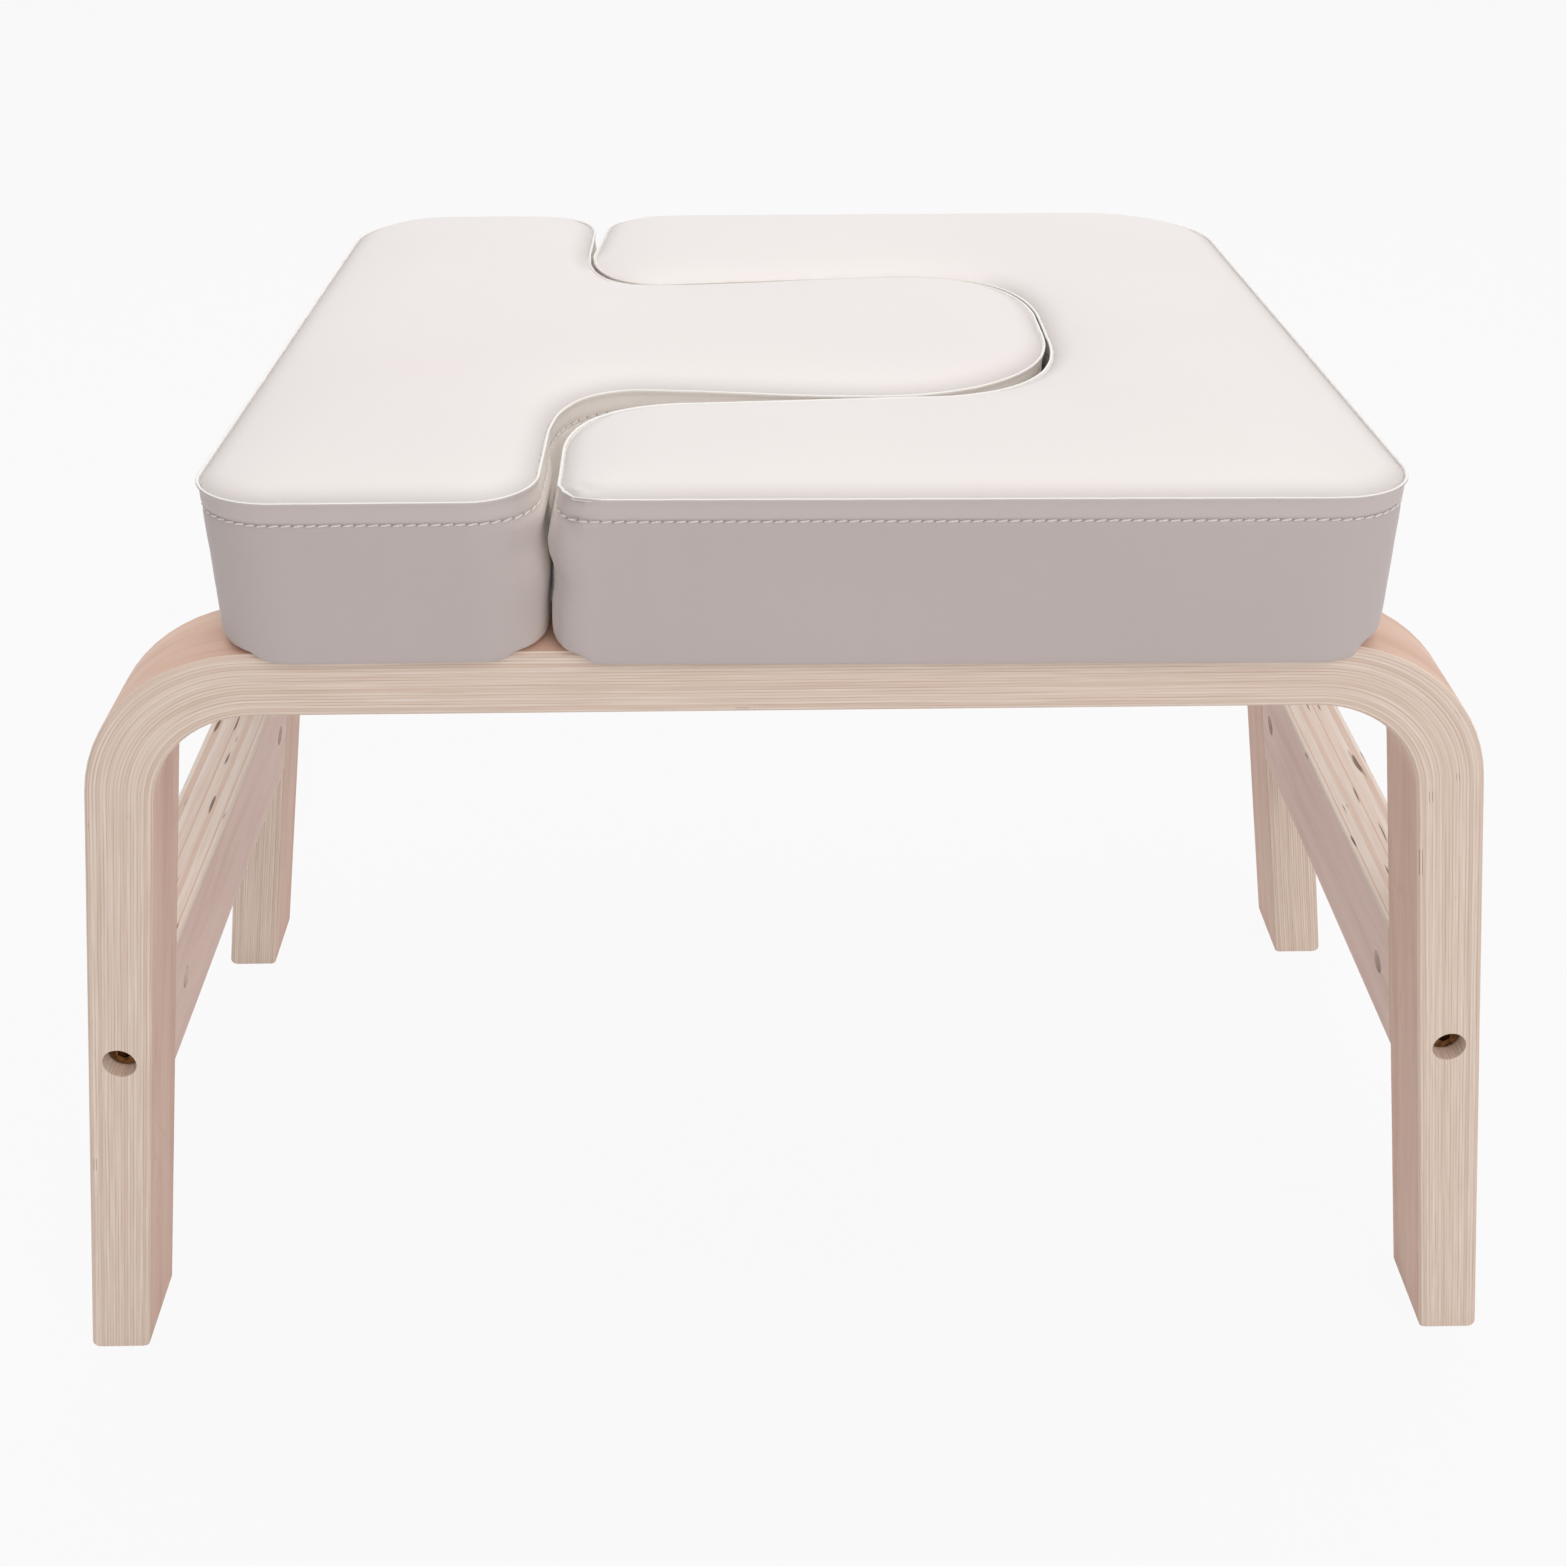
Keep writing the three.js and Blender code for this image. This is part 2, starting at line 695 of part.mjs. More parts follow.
function washer() {
  const hole = boltDiameter / 2 + seatGap;
  const edge = washerDiameter / 2;
  return revolve([
    [hole, 0],
    [edge, 0],
    [edge, washerThickness],
    [hole, washerThickness],
    [hole, 0],
  ]).rotateX(Math.PI / 2);
}

const recessFloor = boardTop - teeFlangeThickness - seatGap;
upholster(
  shoulderPad,
  'shoulder_pad',
  shoulderLoop(),
  [
    ...railHoles(padBoltPlaces, teeBarrelDiameter + 2 * seatGap, boardBase - overrun, boardTop),
    ...railHoles(padBoltPlaces, teeFlangeDiameter + 2 * seatGap, recessFloor, boardTop + overrun),
  ],
  railHoles(padBoltPlaces, boltHoleDiameter + clothHoleSpare, clothBase - overrun, coverBase + overrun),
);

const washerBase = railUnderside - seatGap - washerThickness;
padBoltPlaces.forEach((x, order) => {
  for (const [endName, end] of endNames) {
    const label = `${endName}_${order + 1}`;
    const y = end * halfSpacing;
    const bolt = socketBolt(
      padBoltHeadDiameter,
      padBoltHeadHeight,
      padBoltLength,
      padSocketAcross,
      padSocketDepth,
    );
    add(shoulderPad, `pad_bolt_${label}`, bolt, finishes.zinc, [x, y, washerBase - seatGap]);
    add(shoulderPad, `pad_washer_${label}`, washer(), finishes.zinc, [x, y, washerBase]);
    add(shoulderPad, `tee_nut_${label}`, teeNut(), finishes.zinc, [x, y, boardTop]);
  }
});

// Insert, held in place by dowels that drop into the rails

function dowel() {
  const radius = dowelDiameter / 2;
  const bottom = frameHeight - dowelDrop;
  const top = boardTop - seatGap;
  return revolve([
    [0, bottom],
    [radius - dowelChamfer, bottom],
    [radius, bottom + dowelChamfer],
    [radius, top],
    [0, top],
  ]).rotateX(Math.PI / 2);
}

const dowelHole = dowelDiameter + 2 * seatGap;
upholster(
  insertPad,
  'insert',
  insertLoop(),
  railHoles(dowelPlaces, dowelHole, boardBase - overrun, boardTop + overrun),
  railHoles(dowelPlaces, dowelHole + clothHoleSpare, clothBase - overrun, coverBase + overrun),
);

dowelPlaces.forEach((x, order) => {
  for (const [endName, end] of endNames) {
    add(insertPad, `dowel_${endName}_${order + 1}`, dowel(), finishes.beech, [x, end * halfSpacing, 0]);
  }
});

export default stool;
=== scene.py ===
import math

import bmesh
import bpy
import numpy as np
from mathutils import Euler, Matrix, Vector, kdtree, noise
from mathutils.geometry import delaunay_2d_cdt, interpolate_bezier


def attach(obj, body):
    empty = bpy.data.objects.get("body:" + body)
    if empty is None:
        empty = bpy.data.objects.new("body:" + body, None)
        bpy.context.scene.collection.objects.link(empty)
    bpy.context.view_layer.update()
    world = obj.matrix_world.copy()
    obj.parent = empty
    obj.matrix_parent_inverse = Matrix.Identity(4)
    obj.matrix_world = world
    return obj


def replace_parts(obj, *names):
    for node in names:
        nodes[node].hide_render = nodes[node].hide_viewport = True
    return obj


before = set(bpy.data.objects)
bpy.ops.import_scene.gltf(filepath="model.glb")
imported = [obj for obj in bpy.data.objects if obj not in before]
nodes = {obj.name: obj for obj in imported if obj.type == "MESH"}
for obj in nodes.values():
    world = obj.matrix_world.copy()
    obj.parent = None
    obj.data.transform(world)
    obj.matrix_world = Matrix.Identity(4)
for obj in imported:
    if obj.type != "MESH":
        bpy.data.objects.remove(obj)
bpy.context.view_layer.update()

MM = 0.001

# Bent frames, as in the part's source
LEG_SPLAY = math.radians(9.8)
STRIP_THICKNESS = 25 * MM
BEND_RADIUS = 68 * MM
BEND_HEIGHT = 280 * MM
HALF_FOOT_SPAN = 310 * MM
BEND_REACH = HALF_FOOT_SPAN - BEND_HEIGHT * math.tan(LEG_SPLAY) - BEND_RADIUS / math.cos(LEG_SPLAY)

# Pads, in millimetres, as in the part's source
PAD_LEFT, PAD_RIGHT, HALF_DEPTH = -200, 210, 168
SEAM_HEIGHT, COVER_BASE = 408, 349.3
CROWN_HEIGHT, CROWN_REACH = 10, 18
TOP_INSET = 13

# Pads, in millimetres, fitted to the photograph
FLARE_MIDDLE, PAD_FLARE, PAD_TRIM = -5, 8, 1.6
BOW_START, BOW_REACH = 120, 48
INSERT_BOW, INSERT_BOW_MIDDLE, INSERT_BOW_HALF = 1.8, -140, 60
SHOULDER_BOW_START, SHOULDER_BOW_SLOPE = -60, 0.0135
LIP_DROP, LIP_REACH = 1.3, 1.2
STITCH_DROP, STITCH_SPACING = 7.6, 4.2
STITCH_SINK, STITCH_TILT = 0.95, math.radians(-9)
STITCH_HALVES = (1.95, 0.46, 0.38)
# Painted shade: dark notches this far in from the seam, and a darkening of the top's roll near the seam; the
# ridge inside the ridge edge gets a painted highlight
PAINTED_CREASE_LINE, RIDGE_EDGE, VALLEY_SHADE_REACH = 1.15, 0.82, 11
SAG_START, SAG_REACH, SAG_TOP, SAG_HEIGHT = 165, 2.5, 366, 14
INSERT_SAG, SHOULDER_SAG, SAG_BORDER = 2.6, 4.7, -80
SLOT_MIDDLE, SLOT_HALF, SLOT_START = -83, 16.5, 100
MOST_SWELL, INSERT_SWELL, BACK_SLOT_SHARE = 6.2, 2.2, 0.42
# The last is how much painted light pales the band of boxing above the stitch row
GAP_LEFT, GAP_RIGHT, GAP_MOUTH, PAINTED_STRIP_LIGHT = -110, 150, 164, 0.15
# Where the painted seam shade and highlight are left off, behind the tongue
UNPAINTED_SEAM_LEFT, UNPAINTED_SEAM_RIGHT, UNPAINTED_SEAM_FRONT, UNPAINTED_SEAM_BACK = -88, 101, 36, 110

# Slow waves of the leather, in millimetres: how long and how high
BROAD_WAVE, BROAD_HEIGHT = 46, 0.55
SHORT_WAVE, SHORT_HEIGHT, SHORT_SQUASH = 17, 0.22, 2.2
TOP_WAVE, TOP_WAVE_HEIGHT = 75, 0.45
RIDGE_WAVE, RIDGE_WAVE_HEIGHT = 9, 0.2
STITCH_WAVE, STITCH_WAVE_HEIGHT = 30, 0.15
FOLD_SIZE, FOLD_HEIGHT, FOLD_REACH, FOLD_SEED = 3.2, 1.5, 14, 4
FOLD_CORNER = Vector((-74, -163, 405))

# Upholstery, in millimetres
LEATHER_THICKNESS = 1.1
TOP_PRESS, SIDE_PRESS, PRESS_STEPS = 1.2, 0.6, 15
ROLL_EDGE, SIDE_MIDDLE, LOOSE_REACH = 4, -32, 20
PADDING_INSET, CLOTH_INSET, TOP_CLEARANCE = 3, 5, 2
TOP_SPACING, RIM_SPACING, LINE_SPACING, LONGEST_EDGE = 6, 3.2, 0.5, 12


def new_object(name, data):
    """Puts a mesh, a lamp or the camera into the scene."""
    made = bpy.data.objects.new(name, data)
    bpy.context.scene.collection.objects.link(made)
    return made


# Camera: found by fitting the frames and the pads to the photograph

camera = bpy.data.cameras.new("camera")
camera.sensor_width = 36
camera.lens = 45.435
camera_piece = new_object("camera", camera)
camera_piece.location = (-0.01343, -0.78370, 0.67826)
camera_piece.rotation_euler = Euler((math.pi / 2 - 0.555257, 0.00071, -0.019006))
bpy.context.scene.camera = camera_piece


# Materials

def linear(code):
    """Turns an sRGB hex colour into linear values."""
    parts = [int(code[at:at + 2], 16) / 255 for at in (1, 3, 5)]
    return (*[part / 12.92 if part <= 0.04045 else ((part + 0.055) / 1.055) ** 2.4 for part in parts], 1)


def scales(*lengths):
    """Turns the sizes of a pattern, in millimetres, into the scales of its texture."""
    return tuple(1 / (length * MM) for length in lengths)


def add(tree, kind, inputs=None, stops=None, **settings):
    """Adds a node, with its settings, its ramp's stops and what goes into its sockets."""
    made = tree.nodes.new(kind)
    for name, value in settings.items():
        setattr(made, name, value)
    if stops:
        ramp = made.color_ramp
        while len(ramp.elements) < len(stops):
            ramp.elements.new(0.5)
        for element, (place, code) in zip(ramp.elements, stops):
            element.position = place
            element.color = linear(code)
    for name, value in (inputs or {}).items():
        socket = made.inputs[name] if isinstance(name, int) else next(
            one for one in made.inputs if one.enabled and one.name == name)
        if isinstance(value, tuple) and isinstance(value[0], bpy.types.Node):
            value = value[0].outputs[value[1]]
        if isinstance(value, bpy.types.Node):
            value = next(one for one in value.outputs if one.enabled)
        if isinstance(value, bpy.types.NodeSocket):
            tree.links.new(value, socket)
        else:
            socket.default_value = value
    return made


def new_material(name):
    """Starts a material and returns it with its tree."""
    made = bpy.data.materials.new(name)
    made.use_nodes = True
    made.node_tree.nodes.clear()
    return made, made.node_tree


def finished(made, shader):
    """Shows a shader on a material."""
    add(made.node_tree, "ShaderNodeOutputMaterial", {"Surface": shader})
    return made


def strip_coordinates(tree):
    """Where a point lies in a bent strip: along it, across it, and how deep below its outer face."""
    place = add(tree, "ShaderNodeSeparateXYZ", {0: (add(tree, "ShaderNodeTexCoord"), "Object")})
    side = add(tree, "ShaderNodeMath", {0: (place, "X")}, operation="SIGN")
    out = add(tree, "ShaderNodeMath", {0: (place, "X")}, operation="ABSOLUTE")
    out = add(tree, "ShaderNodeMath", {0: out, 1: BEND_REACH}, operation="SUBTRACT")
    up = add(tree, "ShaderNodeMath", {0: (place, "Z"), 1: BEND_HEIGHT}, operation="SUBTRACT")
    outward = add(tree, "ShaderNodeMath", {0: out, 1: math.sin(LEG_SPLAY)}, operation="MULTIPLY")
    down_leg = add(tree, "ShaderNodeMath", {0: up, 1: -math.cos(LEG_SPLAY), 2: outward},
                   operation="MULTIPLY_ADD")
    down_leg = add(tree, "ShaderNodeMath", {0: down_leg, 1: 0.0}, operation="MAXIMUM")
    along_rail = add(tree, "ShaderNodeMath", {0: out, 1: 0.0}, operation="MINIMUM")
    out_squared = add(tree, "ShaderNodeMath", {0: out, 1: out}, operation="MULTIPLY")
    up_squared = add(tree, "ShaderNodeMath", {0: up, 1: up, 2: out_squared}, operation="MULTIPLY_ADD")
    leg_squared = add(tree, "ShaderNodeMath", {0: down_leg, 1: down_leg}, operation="MULTIPLY")
    rail_squared = add(tree, "ShaderNodeMath", {0: along_rail, 1: along_rail, 2: leg_squared},
                       operation="MULTIPLY_ADD")
    squared = add(tree, "ShaderNodeMath", {0: up_squared, 1: rail_squared}, operation="SUBTRACT")
    radius = add(tree, "ShaderNodeMath", {0: squared}, operation="SQRT")
    depth = add(tree, "ShaderNodeMath", {0: BEND_RADIUS, 1: radius}, operation="SUBTRACT")
    turn = add(tree, "ShaderNodeMath", {0: out, 1: up}, operation="ARCTAN2")
    turn = add(tree, "ShaderNodeClamp", {"Value": turn, "Min": 0.0, "Max": math.pi / 2 - LEG_SPLAY})
    bend = add(tree, "ShaderNodeMath", {0: turn, 1: BEND_RADIUS - STRIP_THICKNESS / 2, 2: down_leg},
               operation="MULTIPLY_ADD")
    run = add(tree, "ShaderNodeMath", {0: bend, 1: along_rail}, operation="ADD")
    run = add(tree, "ShaderNodeMath", {0: run, 1: BEND_REACH}, operation="ADD")
    run = add(tree, "ShaderNodeMath", {0: run, 1: side}, operation="MULTIPLY")
    return add(tree, "ShaderNodeCombineXYZ", {"X": run, "Y": (place, "Y"), "Z": depth})


def board_coordinates(tree):
    """Where a point lies in a tilted stretcher: along it, up its face, and how deep behind its inner face.
    The two stretchers get different grain."""
    place = add(tree, "ShaderNodeSeparateXYZ", {0: (add(tree, "ShaderNodeTexCoord"), "Object")})
    out = add(tree, "ShaderNodeMath", {0: (place, "X")}, operation="ABSOLUTE")
    outward = add(tree, "ShaderNodeMath", {0: out, 1: math.cos(LEG_SPLAY)}, operation="MULTIPLY")
    through = add(tree, "ShaderNodeMath", {0: (place, "Z"), 1: math.sin(LEG_SPLAY), 2: outward},
                  operation="MULTIPLY_ADD")
    inner_face = HALF_FOOT_SPAN * math.cos(LEG_SPLAY) - STRIP_THICKNESS
    depth = add(tree, "ShaderNodeMath", {0: through, 1: inner_face}, operation="SUBTRACT")
    tilt = add(tree, "ShaderNodeMath", {0: out, 1: -math.sin(LEG_SPLAY)}, operation="MULTIPLY")
    up = add(tree, "ShaderNodeMath", {0: (place, "Z"), 1: math.cos(LEG_SPLAY), 2: tilt},
             operation="MULTIPLY_ADD")
    side = add(tree, "ShaderNodeMath", {0: (place, "X")}, operation="SIGN")
    up = add(tree, "ShaderNodeMath", {0: up, 1: side}, operation="ADD")
    return add(tree, "ShaderNodeCombineXYZ", {"X": (place, "Y"), "Y": up, "Z": depth})


def wandering_depth(tree, place, lengths, reach):
    """How deep a point lies in layers that wander a little, as they do in a glued stack."""
    wander = add(tree, "ShaderNodeVectorMath", {0: place, 1: scales(*lengths)}, operation="MULTIPLY")
    wander = add(tree, "ShaderNodeTexNoise", {"Vector": wander, "Scale": 1.0, "Detail": 2.0})
    wander = add(tree, "ShaderNodeMath", {0: wander, 1: 0.5}, operation="SUBTRACT")
    depth = (add(tree, "ShaderNodeSeparateXYZ", {0: place}), "Z")
    return add(tree, "ShaderNodeMath", {0: wander, 1: reach * MM, 2: depth}, operation="MULTIPLY_ADD")


def laminated_edge():
    """Beech veneers glued in a press and planed: fine pale lines along the bend, with a few thin gaps."""
    made, tree = new_material("laminated_beech_edge")
    veneer = 1.25 * MM
    strip = strip_coordinates(tree)
    depth = wandering_depth(tree, strip, (111, 111, 16.7), 0.9)
    count = add(tree, "ShaderNodeMath", {0: depth, 1: 1 / veneer}, operation="MULTIPLY")
    middle = add(tree, "ShaderNodeMath", {0: count, 1: 0.5}, operation="ADD")
    layer = add(tree, "ShaderNodeMath", {0: middle}, operation="FLOOR")
    within = add(tree, "ShaderNodeMath", {0: middle}, operation="FRACT")
    to_joint = add(tree, "ShaderNodeMath", {0: within, 1: 0.5}, operation="PINGPONG")
    tint = add(tree, "ShaderNodeTexWhiteNoise", {"W": layer}, noise_dimensions="1D")
    tone = add(tree, "ShaderNodeValToRGB", {0: tint},
               stops=[(0.0, "#F2DDCD"), (0.45, "#FAE8D9"), (1.0, "#FFF1E5")])
    joint = add(tree, "ShaderNodeMapRange", {"Value": to_joint, "From Min": 0.05, "From Max": 0.2,
                                             "To Min": 1.0, "To Max": 0.0}, interpolation_type="SMOOTHSTEP")
    patch = add(tree, "ShaderNodeVectorMath", {0: strip, 1: scales(71.4, 33.3, 1.43)}, operation="MULTIPLY")
    patch = add(tree, "ShaderNodeTexNoise", {"Vector": patch, "Scale": 1.0, "Detail": 3.0})
    patch = add(tree, "ShaderNodeMapRange", {
        "Value": patch, "From Min": 0.36, "From Max": 0.64, "To Max": 0.7})
    joint = add(tree, "ShaderNodeMath", {0: joint, 1: patch}, operation="MULTIPLY")
    lined = add(tree, "ShaderNodeMix", {"Factor": joint, "A": tone, "B": linear("#C8A992")},
                data_type="RGBA")
    grain = add(tree, "ShaderNodeVectorMath", {0: strip, 1: scales(33.3, 1.11, 0.667)}, operation="MULTIPLY")
    grain = add(tree, "ShaderNodeTexNoise", {"Vector": grain, "Scale": 1.0, "Detail": 3.0, "Roughness": 0.6})
    streak = add(tree, "ShaderNodeMapRange", {
        "Value": grain, "From Min": 0.35, "From Max": 0.7, "To Max": 0.4})
    grained = add(tree, "ShaderNodeMix", {"Factor": streak, "A": lined, "B": linear("#D0B4A0")},
                  data_type="RGBA")
    along = (add(tree, "ShaderNodeSeparateXYZ", {0: strip}), "X")
    gap = add(tree, "ShaderNodeCombineXYZ", {"X": along, "Y": layer})
    gap = add(tree, "ShaderNodeVectorMath", {0: gap, 1: (*scales(26.3), 3.7, 1)}, operation="MULTIPLY")
    gap = add(tree, "ShaderNodeTexNoise", {"Vector": gap, "Scale": 1.0, "Detail": 1.0})
    gap = add(tree, "ShaderNodeMapRange", {"Value": gap, "From Min": 0.735, "From Max": 0.76, "To Max": 0.7})
    near = add(tree, "ShaderNodeMath", {0: to_joint, 1: 0.17}, operation="LESS_THAN")
    gap = add(tree, "ShaderNodeMath", {0: gap, 1: near}, operation="MULTIPLY")
    colour = add(tree, "ShaderNodeMix", {"Factor": gap, "A": grained, "B": linear("#7A5A45")},
                 data_type="RGBA")
    height = add(tree, "ShaderNodeMath", {0: joint, 1: -0.5, 2: grain}, operation="MULTIPLY_ADD")
    bump = add(tree, "ShaderNodeBump", {"Height": height, "Strength": 0.16, "Distance": 0.3 * MM})
    return finished(made, add(tree, "ShaderNodeBsdfPrincipled", {
        "Base Color": colour, "Roughness": 0.56, "IOR": 1.48, "Normal": bump}))


def veneer_face(name, coordinates, pale, mid, dark):
    """A sanded and sealed veneer face: soft streaks along the grain and a few broad flame lines."""
    made, tree = new_material(name)
    place = coordinates(tree)
    spread = add(tree, "ShaderNodeVectorMath", {0: place, 1: scales(143, 16.7, 16.7)}, operation="MULTIPLY")
    broad = add(tree, "ShaderNodeTexNoise", {
        "Vector": spread, "Scale": 1.0, "Detail": 3.0, "Distortion": 0.3})
    tone = add(tree, "ShaderNodeValToRGB", {0: broad}, stops=[(0.3, pale), (0.52, mid), (0.75, dark)])
    flame = add(tree, "ShaderNodeVectorMath", {0: place, 1: scales(200, 29.4, 29.4)}, operation="MULTIPLY")
    flame = add(tree, "ShaderNodeTexNoise", {
        "Vector": flame, "Scale": 1.0, "Detail": 1.0, "Distortion": 0.6})
    flame = add(tree, "ShaderNodeMath", {0: flame, 1: 9.0}, operation="MULTIPLY")
    flame = add(tree, "ShaderNodeMath", {0: flame, 1: 0.5}, operation="PINGPONG")
    flame = add(tree, "ShaderNodeMapRange", {
        "Value": flame, "From Min": 0.0, "From Max": 0.12, "To Min": 0.28, "To Max": 0.0})
    flamed = add(tree, "ShaderNodeMix", {"Factor": flame, "A": tone, "B": linear(dark)}, data_type="RGBA")
    fine = add(tree, "ShaderNodeVectorMath", {0: place, 1: scales(38.5, 1.11, 1.11)}, operation="MULTIPLY")
    fine = add(tree, "ShaderNodeTexNoise", {"Vector": fine, "Scale": 1.0, "Detail": 3.0, "Roughness": 0.6})
    streak = add(tree, "ShaderNodeMapRange", {
        "Value": fine, "From Min": 0.4, "From Max": 0.75, "To Max": 0.4})
    colour = add(tree, "ShaderNodeMix", {"Factor": streak, "A": flamed, "B": linear(dark)}, data_type="RGBA")
    bump = add(tree, "ShaderNodeBump", {"Height": fine, "Strength": 0.1, "Distance": 0.2 * MM})
    return finished(made, add(tree, "ShaderNodeBsdfPrincipled", {
        "Base Color": colour, "Roughness": 0.5, "IOR": 1.48, "Normal": bump}))


def plywood_edge():
    """Sawn edge of coarse plywood: long-grain plies beside darker cross-grain ones, with slits where a ply
    fell short."""
    made, tree = new_material("birch_plywood_edge")
    board = board_coordinates(tree)
    depth = wandering_depth(tree, board, (83.3, 83.3, 25), 1.4)
    through = add(tree, "ShaderNodeMath", {0: depth, 1: 1 / STRIP_THICKNESS}, operation="MULTIPLY")
    plies = add(tree, "ShaderNodeValToRGB", {0: through}, stops=[
        (0.0, "#FFF1E7"), (0.09, "#E8CBBA"), (0.115, "#FDEEE3"), (0.27, "#F2DACA"), (0.36, "#FBEADE"),
        (0.52, "#E8CDBC"), (0.55, "#F9E6D9"), (0.7, "#FEF0E6"), (0.79, "#EED5C5"), (0.91, "#FEF0E6")])
    plies.color_ramp.interpolation = "CONSTANT"
    grain = add(tree, "ShaderNodeVectorMath", {0: board, 1: scales(41.7, 1.43, 1)}, operation="MULTIPLY")
    grain = add(tree, "ShaderNodeTexNoise", {
        "Vector": grain, "Scale": 1.0, "Detail": 4.0, "Roughness": 0.65})
    streak = add(tree, "ShaderNodeMapRange", {
        "Value": grain, "From Min": 0.38, "From Max": 0.7, "To Max": 0.35})
    grained = add(tree, "ShaderNodeMix", {"Factor": streak, "A": plies, "B": linear("#D8B6A2")},
                  data_type="RGBA")
    slit = add(tree, "ShaderNodeVectorMath", {0: board, 1: scales(31.25, 200, 2.38)}, operation="MULTIPLY")
    slit = add(tree, "ShaderNodeTexNoise", {"Vector": slit, "Scale": 1.0, "Detail": 1.0})
    slit = add(tree, "ShaderNodeMapRange", {
        "Value": slit, "From Min": 0.68, "From Max": 0.72, "To Max": 0.85})
    colour = add(tree, "ShaderNodeMix", {"Factor": slit, "A": grained, "B": linear("#6E4C3A")},
                 data_type="RGBA")
    height = add(tree, "ShaderNodeMath", {0: slit, 1: -1.5, 2: grain}, operation="MULTIPLY_ADD")
    bump = add(tree, "ShaderNodeBump", {"Height": height, "Strength": 0.3, "Distance": 0.4 * MM})
    return finished(made, add(tree, "ShaderNodeBsdfPrincipled", {
        "Base Color": colour, "Roughness": 0.62, "IOR": 1.48, "Normal": bump}))


def board_plywood():
    """Plain plywood under the padding: level plies that show on its edges."""
    made, tree = new_material("seat_board_plywood")
    place = add(tree, "ShaderNodeTexCoord")
    levels = add(tree, "ShaderNodeVectorMath", {0: (place, "Object"), 1: scales(33.3, 33.3, 1.61)},
                 operation="MULTIPLY")
    levels = add(tree, "ShaderNodeTexNoise", {"Vector": levels, "Scale": 1.0, "Detail": 3.0})
    colour = add(tree, "ShaderNodeValToRGB", {0: levels},
                 stops=[(0.35, "#B98F70"), (0.5, "#D9B898"), (0.7, "#E8CFB6")])
    bump = add(tree, "ShaderNodeBump", {"Height": levels, "Strength": 0.2, "Distance": 0.3 * MM})
    return finished(made, add(tree, "ShaderNodeBsdfPrincipled", {
        "Base Color": colour, "Roughness": 0.65, "Normal": bump}))


